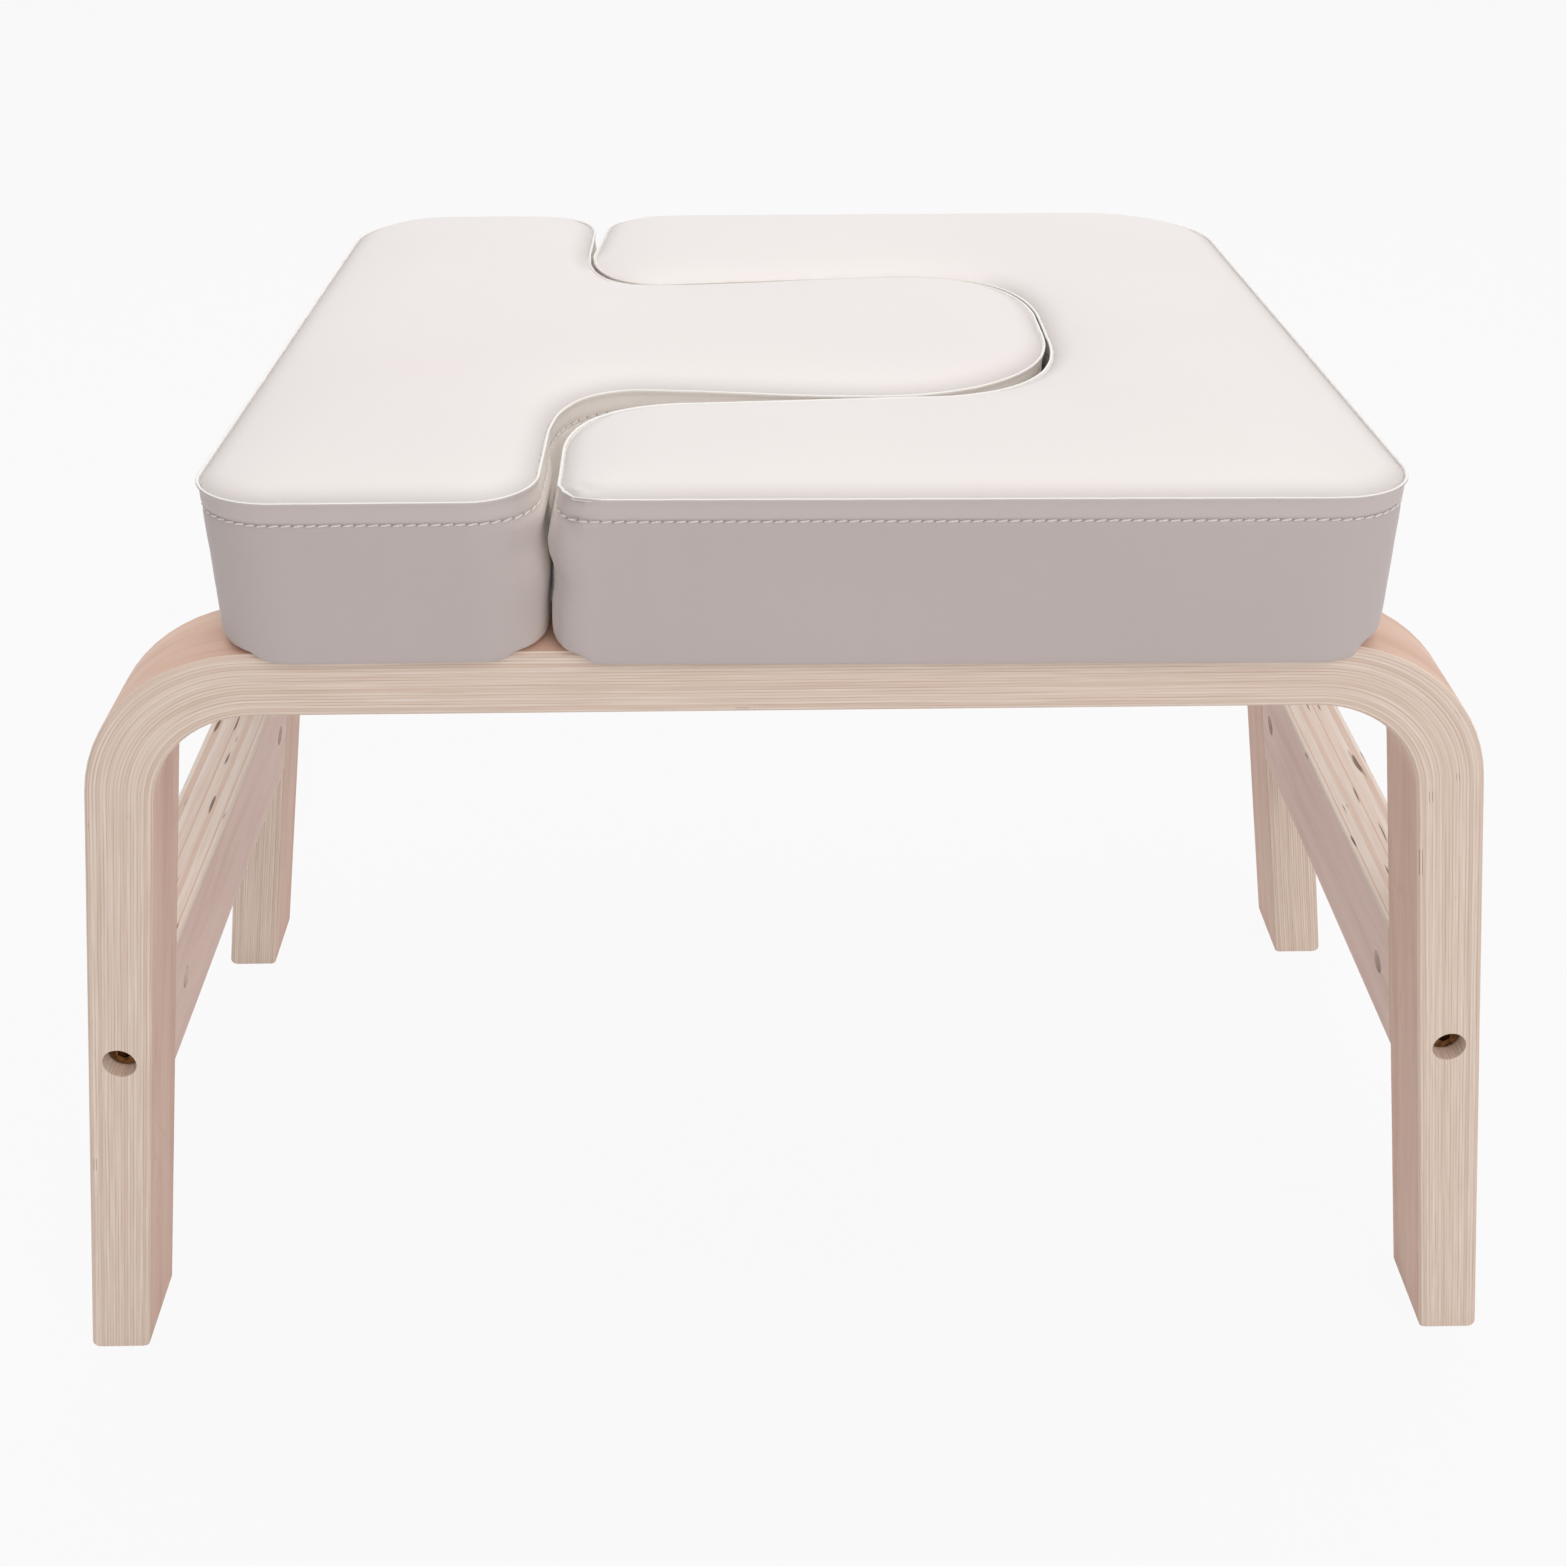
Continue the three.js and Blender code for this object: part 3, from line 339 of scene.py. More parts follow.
def coated_leather(name, base, shade, stretch, painted_seam_share, hole_shade_share):
    """Coated leather cloth: an even satin skin with a fine pebble, drawn coarser than the real 0.4 mm to
    show. Painted shade darkens a row of notches and the roll just above the seam, and the hole at each end
    of a stitch; a painted highlight whitens the seam's ridge. The painted seam shade and highlight are left
    off along the back of the tongue, and painted light makes the walls between the pads and the band above
    the stitch row paler."""
    made, tree = new_material(name)
    place = add(tree, "ShaderNodeTexCoord")
    clouds = add(tree, "ShaderNodeTexNoise", {
        "Vector": (place, "Object"), "Scale": 1 / (143 * MM), "Detail": 2.0})
    tone = add(tree, "ShaderNodeValToRGB", {0: clouds}, stops=[(0.35, base), (0.7, shade)])
    # Painted light: the walls in the gap between the pads and the band above the stitch row are mixed
    # towards a paler tone
    painted_light = add(tree, "ShaderNodeAttribute", attribute_name="painted_light")
    tone = add(tree, "ShaderNodeMix", {"Factor": (painted_light, "Fac"), "A": tone, "B": linear("#FFFAF5")},
               data_type="RGBA")
    pebble = add(tree, "ShaderNodeTexVoronoi", {"Vector": (place, "Object"), "Scale": 1 / (1.11 * MM)},
                 feature="SMOOTH_F1")
    pebble = add(tree, "ShaderNodeMath", {0: pebble, 1: 0.35}, operation="MULTIPLY")
    pull = add(tree, "ShaderNodeVectorMath", {0: (place, "Object"), 1: stretch}, operation="MULTIPLY")
    pull = add(tree, "ShaderNodeTexNoise", {"Vector": pull, "Scale": 1.0, "Detail": 4.0, "Roughness": 0.55})
    height = add(tree, "ShaderNodeMath", {0: pull, 1: 1.2, 2: pebble}, operation="MULTIPLY_ADD")
    seam = add(tree, "ShaderNodeSeparateXYZ", {0: (place, "UV")})
    pucker = add(tree, "ShaderNodeVectorMath", {0: (place, "UV"), 1: scales(3.3333, 16.67, 16.67)},
                 operation="MULTIPLY")
    pucker = add(tree, "ShaderNodeTexNoise", {"Vector": pucker, "Scale": 1.0, "Detail": 2.0})
    near = add(tree, "ShaderNodeMath", {0: (seam, "Y")}, operation="ABSOLUTE")
    near = add(tree, "ShaderNodeMapRange", {"Value": near, "From Min": 0.5 * MM, "From Max": 7 * MM,
                                            "To Min": 1.6, "To Max": 0.0}, interpolation_type="SMOOTHSTEP")
    height = add(tree, "ShaderNodeMath", {0: pucker, 1: near, 2: height}, operation="MULTIPLY_ADD")
    bump = add(tree, "ShaderNodeBump", {"Height": height, "Strength": 0.3, "Distance": 0.35 * MM})
    # Painted shade: a row of dark notches in the seam's puckers
    crease_shade = add(tree, "ShaderNodeMath", {0: (seam, "Y"), 1: PAINTED_CREASE_LINE * MM}, operation="SUBTRACT")
    crease_shade = add(tree, "ShaderNodeMath", {0: crease_shade}, operation="ABSOLUTE")
    crease_shade = add(tree, "ShaderNodeMapRange", {
        "Value": crease_shade, "From Min": 0.1 * MM, "From Max": 0.5 * MM, "To Min": painted_seam_share, "To Max": 0.0})
    notch = add(tree, "ShaderNodeMapRange", {"Value": pucker, "From Min": 0.42, "From Max": 0.62})
    crease_shade = add(tree, "ShaderNodeMath", {0: crease_shade, 1: notch}, operation="MULTIPLY")
    # Painted shade: the top's roll darkens towards the seam
    valley_shade = add(tree, "ShaderNodeMapRange", {"Value": (seam, "Y"), "From Min": 1.0 * MM,
                                              "From Max": VALLEY_SHADE_REACH * MM, "To Min": 1.0, "To Max": 0.0})
    valley_shade = add(tree, "ShaderNodeMath", {0: valley_shade, 1: 2.0}, operation="POWER")
    valley_shade = add(tree, "ShaderNodeMath", {0: valley_shade, 1: painted_seam_share * 0.5}, operation="MULTIPLY")
    inside = add(tree, "ShaderNodeMath", {0: (seam, "Y"), 1: RIDGE_EDGE * MM}, operation="GREATER_THAN")
    valley_shade = add(tree, "ShaderNodeMath", {0: valley_shade, 1: inside}, operation="MULTIPLY")
    crease_shade = add(tree, "ShaderNodeMath", {0: crease_shade, 1: valley_shade}, operation="MAXIMUM")
    # Painted shade: a dark spot in the hole at each end of a stitch
    step = add(tree, "ShaderNodeMath", {0: (seam, "X"), 1: STITCH_SPACING * MM / 2}, operation="PINGPONG")
    drop = add(tree, "ShaderNodeMath", {0: (seam, "Y"), 1: (STITCH_DROP + 1.05) * MM}, operation="ADD")
    hole = add(tree, "ShaderNodeCombineXYZ", {"X": step, "Y": drop})
    hole = add(tree, "ShaderNodeVectorMath", {0: hole}, operation="LENGTH")
    hole = add(tree, "ShaderNodeMapRange", {"Value": (hole, "Value"), "From Min": 0.3 * MM,
                                            "From Max": 0.8 * MM, "To Min": hole_shade_share, "To Max": 0.0})
    # This mask leaves the painted seam shade and highlight off behind the tongue
    pressed = add(tree, "ShaderNodeAttribute", attribute_name="pressed")
    apart = add(tree, "ShaderNodeMath", {0: 1.0, 1: (pressed, "Fac")}, operation="SUBTRACT")
    crease_shade = add(tree, "ShaderNodeMath", {0: crease_shade, 1: apart}, operation="MULTIPLY")
    painted_shade = add(tree, "ShaderNodeMath", {0: crease_shade, 1: hole}, operation="MAXIMUM")
    # Painted highlight: the seam's ridge is whitened
    painted_highlight = add(tree, "ShaderNodeMath", {0: apart, 1: inside}, operation="SUBTRACT")
    painted_highlight = add(tree, "ShaderNodeMath", {0: painted_highlight, 1: 0.0}, operation="MAXIMUM")
    painted_highlight = add(tree, "ShaderNodeMath", {0: painted_highlight, 1: 1.0 if painted_seam_share else 0.0}, operation="MULTIPLY")
    tone = add(tree, "ShaderNodeMix", {"Factor": painted_highlight, "A": tone, "B": linear("#FFFFFD")}, data_type="RGBA")
    # Painted shade: notches, the roll near the seam and stitch holes are mixed towards a dark brown-grey
    colour = add(tree, "ShaderNodeMix", {"Factor": painted_shade, "A": tone, "B": linear("#857871")},
                 data_type="RGBA")
    return finished(made, add(tree, "ShaderNodeBsdfPrincipled", {
        "Base Color": colour, "Roughness": 0.47, "IOR": 1.46, "Normal": bump}))


def sewing_thread():
    """Bonded polyester thread: a dull pale cord with a fine twist."""
    made, tree = new_material("polyester_thread")
    place = add(tree, "ShaderNodeTexCoord")
    twist = add(tree, "ShaderNodeTexNoise", {
        "Vector": (place, "Object"), "Scale": 1 / (0.4 * MM), "Detail": 1.0})
    colour = add(tree, "ShaderNodeValToRGB", {0: twist}, stops=[(0.35, "#E6DEDB"), (0.65, "#FFFCFA")])
    return finished(made, add(tree, "ShaderNodeBsdfPrincipled", {
        "Base Color": colour, "Roughness": 0.6}))


def open_foam():
    """Cut polyurethane foam: dull, with open cells about a millimetre across."""
    made, tree = new_material("polyurethane_foam")
    place = add(tree, "ShaderNodeTexCoord")
    cells = add(tree, "ShaderNodeTexVoronoi", {"Vector": (place, "Object"), "Scale": 1 / (1.25 * MM)})
    colour = add(tree, "ShaderNodeValToRGB", {0: cells}, stops=[(0.1, "#D8CB97"), (0.6, "#F1E6B8")])
    bump = add(tree, "ShaderNodeBump", {"Height": cells, "Strength": 0.6, "Distance": 0.5 * MM})
    return finished(made, add(tree, "ShaderNodeBsdfPrincipled", {
        "Base Color": colour, "Roughness": 0.95, "Normal": bump}))


def spunbond_cloth():
    """Black spun-bonded cloth under a seat: matt, with rows of small pressed points. They lie 3 mm apart,
    drawn that coarse to show."""
    made, tree = new_material("spunbond_dust_cloth")
    place = add(tree, "ShaderNodeTexCoord")
    points = add(tree, "ShaderNodeTexVoronoi", {
        "Vector": (place, "Object"), "Scale": 1 / (3.03 * MM), "Randomness": 0.15}, voronoi_dimensions="2D")
    fibres = add(tree, "ShaderNodeTexNoise", {
        "Vector": (place, "Object"), "Scale": 1 / (0.667 * MM), "Detail": 3.0})
    height = add(tree, "ShaderNodeMath", {0: points, 1: 2.0, 2: fibres}, operation="MULTIPLY_ADD")
    colour = add(tree, "ShaderNodeValToRGB", {0: height}, stops=[(0.4, "#232121"), (0.9, "#3A3736")])
    bump = add(tree, "ShaderNodeBump", {"Height": height, "Strength": 0.5, "Distance": 0.3 * MM})
    return finished(made, add(tree, "ShaderNodeBsdfPrincipled", {
        "Base Color": colour, "Roughness": 0.9, "Normal": bump}))


def plated_steel(name, pale, dark, roughness):
    """Plated fastener steel: an even metal skin, a little cloudy from the bath."""
    made, tree = new_material(name)
    place = add(tree, "ShaderNodeTexCoord")
    clouds = add(tree, "ShaderNodeTexNoise", {
        "Vector": (place, "Object"), "Scale": 1 / (2.5 * MM), "Detail": 3.0})
    colour = add(tree, "ShaderNodeValToRGB", {0: clouds}, stops=[(0.35, dark), (0.65, pale)])
    bump = add(tree, "ShaderNodeBump", {"Height": clouds, "Strength": 0.1, "Distance": 0.1 * MM})
    return finished(made, add(tree, "ShaderNodeBsdfPrincipled", {
        "Base Color": colour, "Metallic": 1.0, "Roughness": roughness, "Normal": bump}))


beech_edge = laminated_edge()
beech_face = veneer_face("beech_veneer_face", strip_coordinates, "#F1D0BD", "#E9C4AF", "#D6A992")
# The outer faces get a paler veneer: partly a different veneer, partly painted light that brightens the rail
# tops
pale_beech_face_painted_light = veneer_face("pale_beech_veneer_face_painted_light", strip_coordinates, "#F7D7C5", "#EFCBB6", "#DCB098")
ply_face = veneer_face("birch_plywood_face", board_coordinates, "#FADCD0", "#F3D4C8", "#E4BFAF")
ply_edge = plywood_edge()
seat_ply = board_plywood()
# The top leather carries the painted seam shade and ridge highlight. The boxing is a darker, greyer copy of
# it: painted shade for walls less lit than the top, with painted shade in its stitch holes.
top_leather = coated_leather("coated_leather_top", "#F3EFED", "#F1EBEA", scales(25, 25, 25), 0.7, 0.0)
shaded_boxing_leather = coated_leather("coated_leather_boxing_painted_shade", "#D0C6C5", "#CCC2C0", scales(25, 25, 2.38), 0.0, 0.5)
thread = sewing_thread()
foam = open_foam()
dust_cloth = spunbond_cloth()
bronze = plated_steel("bronze_plated_steel", "#9A7650", "#5E452E", 0.32)
zinc = plated_steel("zinc_plated_steel", "#C9C9C4", "#A5A6A2", 0.36)


# Hard pieces: the CAD shapes, with their curved faces shaded smooth

JOIN_REACH = 0.005 * MM
FLAT_ANGLE = math.radians(0.4)
SHARP_ANGLE = math.radians(30)
FACE_REACH = 0.3 * MM
BROAD_FACE = 400 * MM ** 2


def new_mesh(name, shape, *finishes):
    """Turns a finished shape into a mesh with its materials."""
    mesh = bpy.data.meshes.new(name)
    shape.to_mesh(mesh)
    shape.free()
    for finish in finishes:
        mesh.materials.append(finish)
    return mesh


def new_piece(name, shape, body, slot, *finishes):
    """Adds a piece that rides a body; the slot is not used."""
    piece = new_object(name, new_mesh(name, shape, *finishes))
    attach(piece, body)
    return piece


def merged_copy(node):
    """Copies a CAD node, joins its loose triangles and marks its sharp edges."""
    shape = bmesh.new()
    shape.from_mesh(nodes[node].data)
    bmesh.ops.remove_doubles(shape, verts=shape.verts, dist=JOIN_REACH)
    bmesh.ops.dissolve_limit(shape, angle_limit=FLAT_ANGLE, verts=shape.verts, edges=shape.edges)
    for face in shape.faces:
        face.smooth = True
        face.material_index = 0
    for edge in shape.edges:
        edge.smooth = edge.is_manifold and edge.calc_face_angle() < SHARP_ANGLE
    return shape


def even_normals(piece):
    """Lets big flat faces keep their own shading where they run into a curve."""
    weighted = piece.modifiers.new("even_normals", "WEIGHTED_NORMAL")
    weighted.keep_sharp = True
    return piece


def depth_in_strip(point):
    """How deep a point lies below the outer face of a bent strip."""
    out, up = abs(point.x) - BEND_REACH, point.z - BEND_HEIGHT
    down_leg = max(out * math.sin(LEG_SPLAY) - up * math.cos(LEG_SPLAY), 0)
    along_rail = min(out, 0)
    return BEND_RADIUS - math.sqrt(max(out ** 2 + up ** 2 - down_leg ** 2 - along_rail ** 2, 0))


for end in ("front", "back"):
    shape = merged_copy(f"{end}_frame")
    for face in shape.faces:
        depth = depth_in_strip(face.calc_center_median())
        across = abs(face.normal.y) < 0.1 and abs(face.normal.z + 1) > 0.1
        # Outer faces take the paler veneer, which carries painted light
        if across and abs(depth) < FACE_REACH:
            face.material_index = 2
        elif across and abs(depth - STRIP_THICKNESS) < FACE_REACH:
            face.material_index = 1
    piece = even_normals(new_piece(f"{end}_bent_frame", shape, "stool", "beech_laminate",
                                   beech_edge, beech_face, pale_beech_face_painted_light))
    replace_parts(piece, f"{end}_frame")

for side, sign in (("left", -1), ("right", 1)):
    shape = merged_copy(f"{side}_stretcher")
    across = Vector((sign * math.cos(LEG_SPLAY), 0, math.sin(LEG_SPLAY)))
    for face in shape.faces:
        if abs(face.normal.dot(across)) > 0.95 and face.calc_area() > BROAD_FACE:
            face.material_index = 1
    piece = even_normals(new_piece(f"{side}_stretcher_board", shape, "stool", "plywood", ply_edge, ply_face))
    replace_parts(piece, f"{side}_stretcher")

fasteners = [name for name in nodes if name.split("_")[0] in ("barrel", "pad", "tee") or "bolt" in name]
for name in fasteners:
    bronzed = name.startswith("stretcher_bolt")
    finish, slot = (bronze, "bronze_steel") if bronzed else (zinc, "zinc_steel")
    piece = new_piece(f"{name}_plated", merged_copy(name), "stool", slot, finish)
    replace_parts(even_normals(piece), name)

for name in (one for one in nodes if one.startswith("dowel")):
    piece = new_piece(f"{name}_turned", merged_copy(name), "insert", "beech_laminate", beech_face)
    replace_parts(even_normals(piece), name)


# Pads: the seam lines, seen from above, in millimetres

# How far the handles of a curve reach towards a corner, so that it turns like an ellipse
ROUND = 0.5523


def rise(value, reach):
    """Rises from 0 to 1 while a value goes from 0 to its reach."""
    return min(max(value / reach, 0), 1)


def bend(start, corner, end):
    """A rounded corner between two straight runs."""
    pulls = [tuple(a + (b - a) * ROUND for a, b in zip(point, corner)) for point in (start, end)]
    return interpolate_bezier(*[Vector((*point, 0)) for point in (start, pulls[0], pulls[1], end)], 40)


def sweep(*points):
    return interpolate_bezier(*[Vector((*point, 0)) for point in points], 80)


def both_halves(left, right, front, back):
    """Joins the runs of the front half and, mirrored, those of the back half, from left to right."""
    start, end = Vector((left, 0, 0)), Vector((right, 0, 0))
    halves = [[start, *[point for run in half for point in run], end] for half in (front, back)]
    return halves[0] + [Vector((point.x, -point.y, 0)) for point in reversed(halves[1])]


insert_front = [
    bend((-200, -142), (-200, -168), (-172, -168)),
    bend((-107.5, -168), (-85.5, -168), (-85.5, -146)),
    sweep((-85.5, -109), (-85.5, -82.1), (-76.1, -64.8), (-54, -64.8)),
    sweep((-54, -64.8), (-24, -66.5), (6, -73.3), (36, -73.3)),
    sweep((36, -73.3), (76, -73.3), (107, -47), (107, -8)),
]
insert_back = [
    bend((-200, -130), (-200, -168), (-160, -168)),
    bend((-109, -168), (-84.5, -168), (-84.5, -142)),
    sweep((-84.5, -109), (-84.5, -82.1), (-76.1, -61.8), (-52, -61.8)),
    sweep((-52, -61.8), (-14.4, -61.8), (23.3, -71), (55.5, -71)),
    sweep((55.5, -71), (88.5, -71), (107, -48.6), (107, -15)),
]
insert_line = both_halves(PAD_LEFT, 107, insert_front, insert_back)
shoulder_front = [
    sweep((108.4, -14), (108.4, -50), (90, -74.4), (52, -74.4)),
    sweep((-31, -79), (-58, -79), (-79, -90), (-79, -124)),
    bend((-78.4, -152), (-78, -168), (-64, -168)),
    bend((182, -168), (210, -168), (210, -142)),
]
shoulder_back = [
    sweep((108.4, -14), (108.4, -50), (92, -73), (51, -73)),
    sweep((-50, -63.7), (-72, -63.7), (-82.5, -85), (-82.7, -106)),
    bend((-79.6, -144), (-79.2, -168), (-54, -168)),
    bend((152, -168), (210, -168), (210, -122)),
]
shoulder_line = both_halves(108.4, PAD_RIGHT, shoulder_front, shoulder_back)


def flared(rough):
    """The pads of the photograph are a little wider in front than behind, most at their outer edges. The
    insert's front edge is bowed, and the shoulder pad's comes forward towards the right."""
    places = []
    for point in rough:
        share = (point.x - FLARE_MIDDLE) / (PAD_RIGHT - FLARE_MIDDLE)
        trim = PAD_TRIM + PAD_FLARE * point.y / HALF_DEPTH
        bow = INSERT_BOW * (1 - ((point.x - INSERT_BOW_MIDDLE) / INSERT_BOW_HALF) ** 2)
        bow = max(0, bow) + max(0, SHOULDER_BOW_SLOPE * (point.x - SHOULDER_BOW_START))
        forward = bow * rise(-point.y - BOW_START, BOW_REACH)
        places.append(Vector((point.x - share ** 3 * trim, point.y - forward, 0)))
    return places


class SeamLine:
    """A closed line of points half a millimetre apart, with the direction into the pad at each."""

    def __init__(self, rough):
        walk = [0.0]
        ends = rough[1:] + rough[:1]
        for start, end in zip(rough, ends):
            walk.append(walk[-1] + (end - start).length)
        self.length = walk[-1]
        self.count = round(self.length / LINE_SPACING)
        self.points = []
        at = 0
        for index in range(self.count):
            station = self.length * index / self.count
            while walk[at + 1] < station:
                at += 1
            share = (station - walk[at]) / max(walk[at + 1] - walk[at], 1e-9)
            self.points.append(rough[at].lerp(ends[at], share))
        reach = 4
        self.inward = []
        for index in range(self.count):
            run = self.points[(index + reach) % self.count] - self.points[index - reach]
            self.inward.append(Vector((-run.y, run.x, 0)).normalized())
        self.places = np.array(self.points)
        self.tree = kdtree.KDTree(self.count)
        for index, point in enumerate(self.points):
            self.tree.insert(point, index)
        self.tree.balance()

    def at(self, station, inset=0.0):
        """The point at a distance along the line, moved into the pad."""
        place = station / self.length * self.count
        low = math.floor(place)
        share = place - low
        first, second = low % self.count, (low + 1) % self.count
        point = self.points[first].lerp(self.points[second], share)
        return point + self.inward[first].lerp(self.inward[second], share).normalized() * inset

    def depth(self, point):
        """How far inside the line a point lies, less than zero outside."""
        nearest, index, away = self.tree.find(point)
        return math.copysign(away, (point - nearest).dot(self.inward[index]))

    def softened(self, point):
        """A distance from the whole line that has no ridges and is shorter in the corners."""
        away = np.hypot(self.places[:, 0] - point.x, self.places[:, 1] - point.y)
        return math.sqrt(2 / np.sum(self.length / self.count / away ** 3))

    def nearest(self, point):
        """The distance along the line of its nearest point, and how far off it is."""
        flat = Vector((point.x, point.y, 0))
        _, index, away = self.tree.find(flat)
        run = (self.points[(index + 1) % self.count] - self.points[index - 1]).normalized()
        station = self.length * index / self.count + (flat - self.points[index]).dot(run)
        return station % self.length, away


def top_height(away):
    """Height of the padded top at a distance from the seam: it rises fast at first, then levels out."""
    crown = CROWN_HEIGHT * (1 - math.exp(-away / CROWN_REACH))
    return SEAM_HEIGHT + crown - LIP_DROP * math.exp(-away / LIP_REACH)


def side_wave(point, height):
    """How far the boxing stands out, in millimetres: long slow waves and a few short ones low down."""
    broad = noise.noise(Vector((point.x, point.y, height)) / BROAD_WAVE)
    short = noise.noise(Vector((point.x, point.y, height * SHORT_SQUASH)) / SHORT_WAVE)
    fade = max(0, math.sin(math.pi * (SEAM_HEIGHT - height) / (SEAM_HEIGHT - COVER_BASE)))
    return fade * (BROAD_HEIGHT * broad + SHORT_HEIGHT * short)


def sag(point, height, inset):
    """Where the pads overhang a rail, their lower edge hangs a little past its top, as in the photograph."""
    if inset >= 4:
        return 0
    drop = SHOULDER_SAG if point.x > SAG_BORDER else INSERT_SAG
    return rise(abs(point.y) - SAG_START, SAG_REACH) * rise(SAG_TOP - height, SAG_HEIGHT) * drop


# Rows of the cover: how far in from the seam line, and at what height. Each ridge stands on the seam.
ROLL_ROWS = [10.5, 8.4, 6.8, 5.4, 4.2, 3.2, 2.4, 1.7, 1.1]
RIDGE_HEIGHT = 409.1
RIDGE_ROWS = [(0.95, 407.8), (0.8, 408.6), (0.5, 409.05), (0.2, 409.15), (0.0, RIDGE_HEIGHT)]
SIDE_ROWS = [(-0.25, 408.9), (-0.35, 408.3), (0.1, 407.6), (0.5, 406.7), (0.55, 405.6), (0.5, 404.4),
             (0.5, 403.2), (0.6, 402.1), (0.85, 401.3), (1.25, 400.7), (1.3, 400.1), (0.95, 399.4),
             (0.65, 398.4), (0.55, 396.0),
             *[(0.5, height) for height in (392, 388, 384, 380, 376, 372, 368, 364, 360.5, 357.5)],
             (0.55, 355.0), (0.65, 353.0), (0.9, 351.5), (1.4, 350.3), (2.2, 349.6),
             *[(inset, COVER_BASE) for inset in (3.4, 4.8, 6.0, 9.0, 14.0)]]


def top_sheet(shape, line):
    """Fills the top inside its rolled edge with even triangles."""
    count = round(line.length / RIM_SPACING)
    places = [line.at(line.length * index / count, TOP_INSET).xy for index in range(count)]
    rim = [(index, (index + 1) % count) for index in range(count)]
    low, high = line.places.min(axis=0), line.places.max(axis=0)
    for row in range(int((high[1] - low[1]) / TOP_SPACING)):
        for column in range(int((high[0] - low[0]) / TOP_SPACING)):
            place = Vector((low[0] + (column + row % 2 / 2) * TOP_SPACING, low[1] + row * TOP_SPACING, 0))
            if line.depth(place) > TOP_INSET + TOP_SPACING / 2:
                places.append(place.xy)
    corners, _, faces, *_ = delaunay_2d_cdt(places, rim, [], 1, 1e-4)
    verts = [shape.verts.new((*corner, 0)) for corner in corners]
    for face in faces:
        shape.faces.new([verts[index] for index in face])
    bmesh.ops.delete(shape, geom=[vert for vert in verts if not vert.link_faces], context="VERTS")


def press_out(piece, looseness):
    """Lets the padding press the leather out, in a short cloth simulation with its seams held. The looseness
    says how many millimetres each point may move."""
    mesh = piece.data
    start = [vert.co.copy() for vert in mesh.vertices]
    held = piece.vertex_groups.new(name="sewn")
    for vert in mesh.vertices:
        held.add([vert.index], 1 - min(looseness[vert.index], 1), "REPLACE")
    pull = piece.modifiers.new("pull", "CLOTH")
    pull.settings.quality = 6
    pull.settings.vertex_group_mass = "sewn"
    pull.settings.tension_stiffness = 12
    pull.settings.compression_stiffness = 12
    pull.settings.shear_stiffness = 4
    pull.settings.bending_stiffness = 0.3
    pull.settings.use_pressure = True
    pull.settings.uniform_pressure_force = 4
    pull.settings.effector_weights.gravity = 0
    pull.collision_settings.use_collision = False
    for step in range(1, PRESS_STEPS + 1):
        bpy.context.scene.frame_set(step)
    pressed = piece.evaluated_get(bpy.context.evaluated_depsgraph_get())
    for vert, before, after in zip(mesh.vertices, start, pressed.data.vertices):
        move = after.co - before
        most = looseness[vert.index] * MM
        vert.co = before + move * (most / (most + move.length)) if most > 0 else before
    piece.modifiers.remove(pull)
    piece.vertex_groups.remove(held)
    bpy.context.scene.frame_set(1)


def gap_share(point):
    """How far a point of the boxing lies inside the gap between the pads, whose walls get painted light for
    the light that bounces about there.
    """
    return rise(GAP_MOUTH - abs(point.y), 20) if GAP_LEFT < point.x < GAP_RIGHT else 0


def unpainted_seam_share(point):
    """How much of the painted seam shade and highlight is left off along the back of the tongue, where the
    photograph shows no seam.
    """
    along = rise(point.x - UNPAINTED_SEAM_LEFT, 6) * rise(UNPAINTED_SEAM_RIGHT - point.x, 13)
    return along * rise(point.y - UNPAINTED_SEAM_FRONT, 12) * rise(UNPAINTED_SEAM_BACK - point.y, 12)


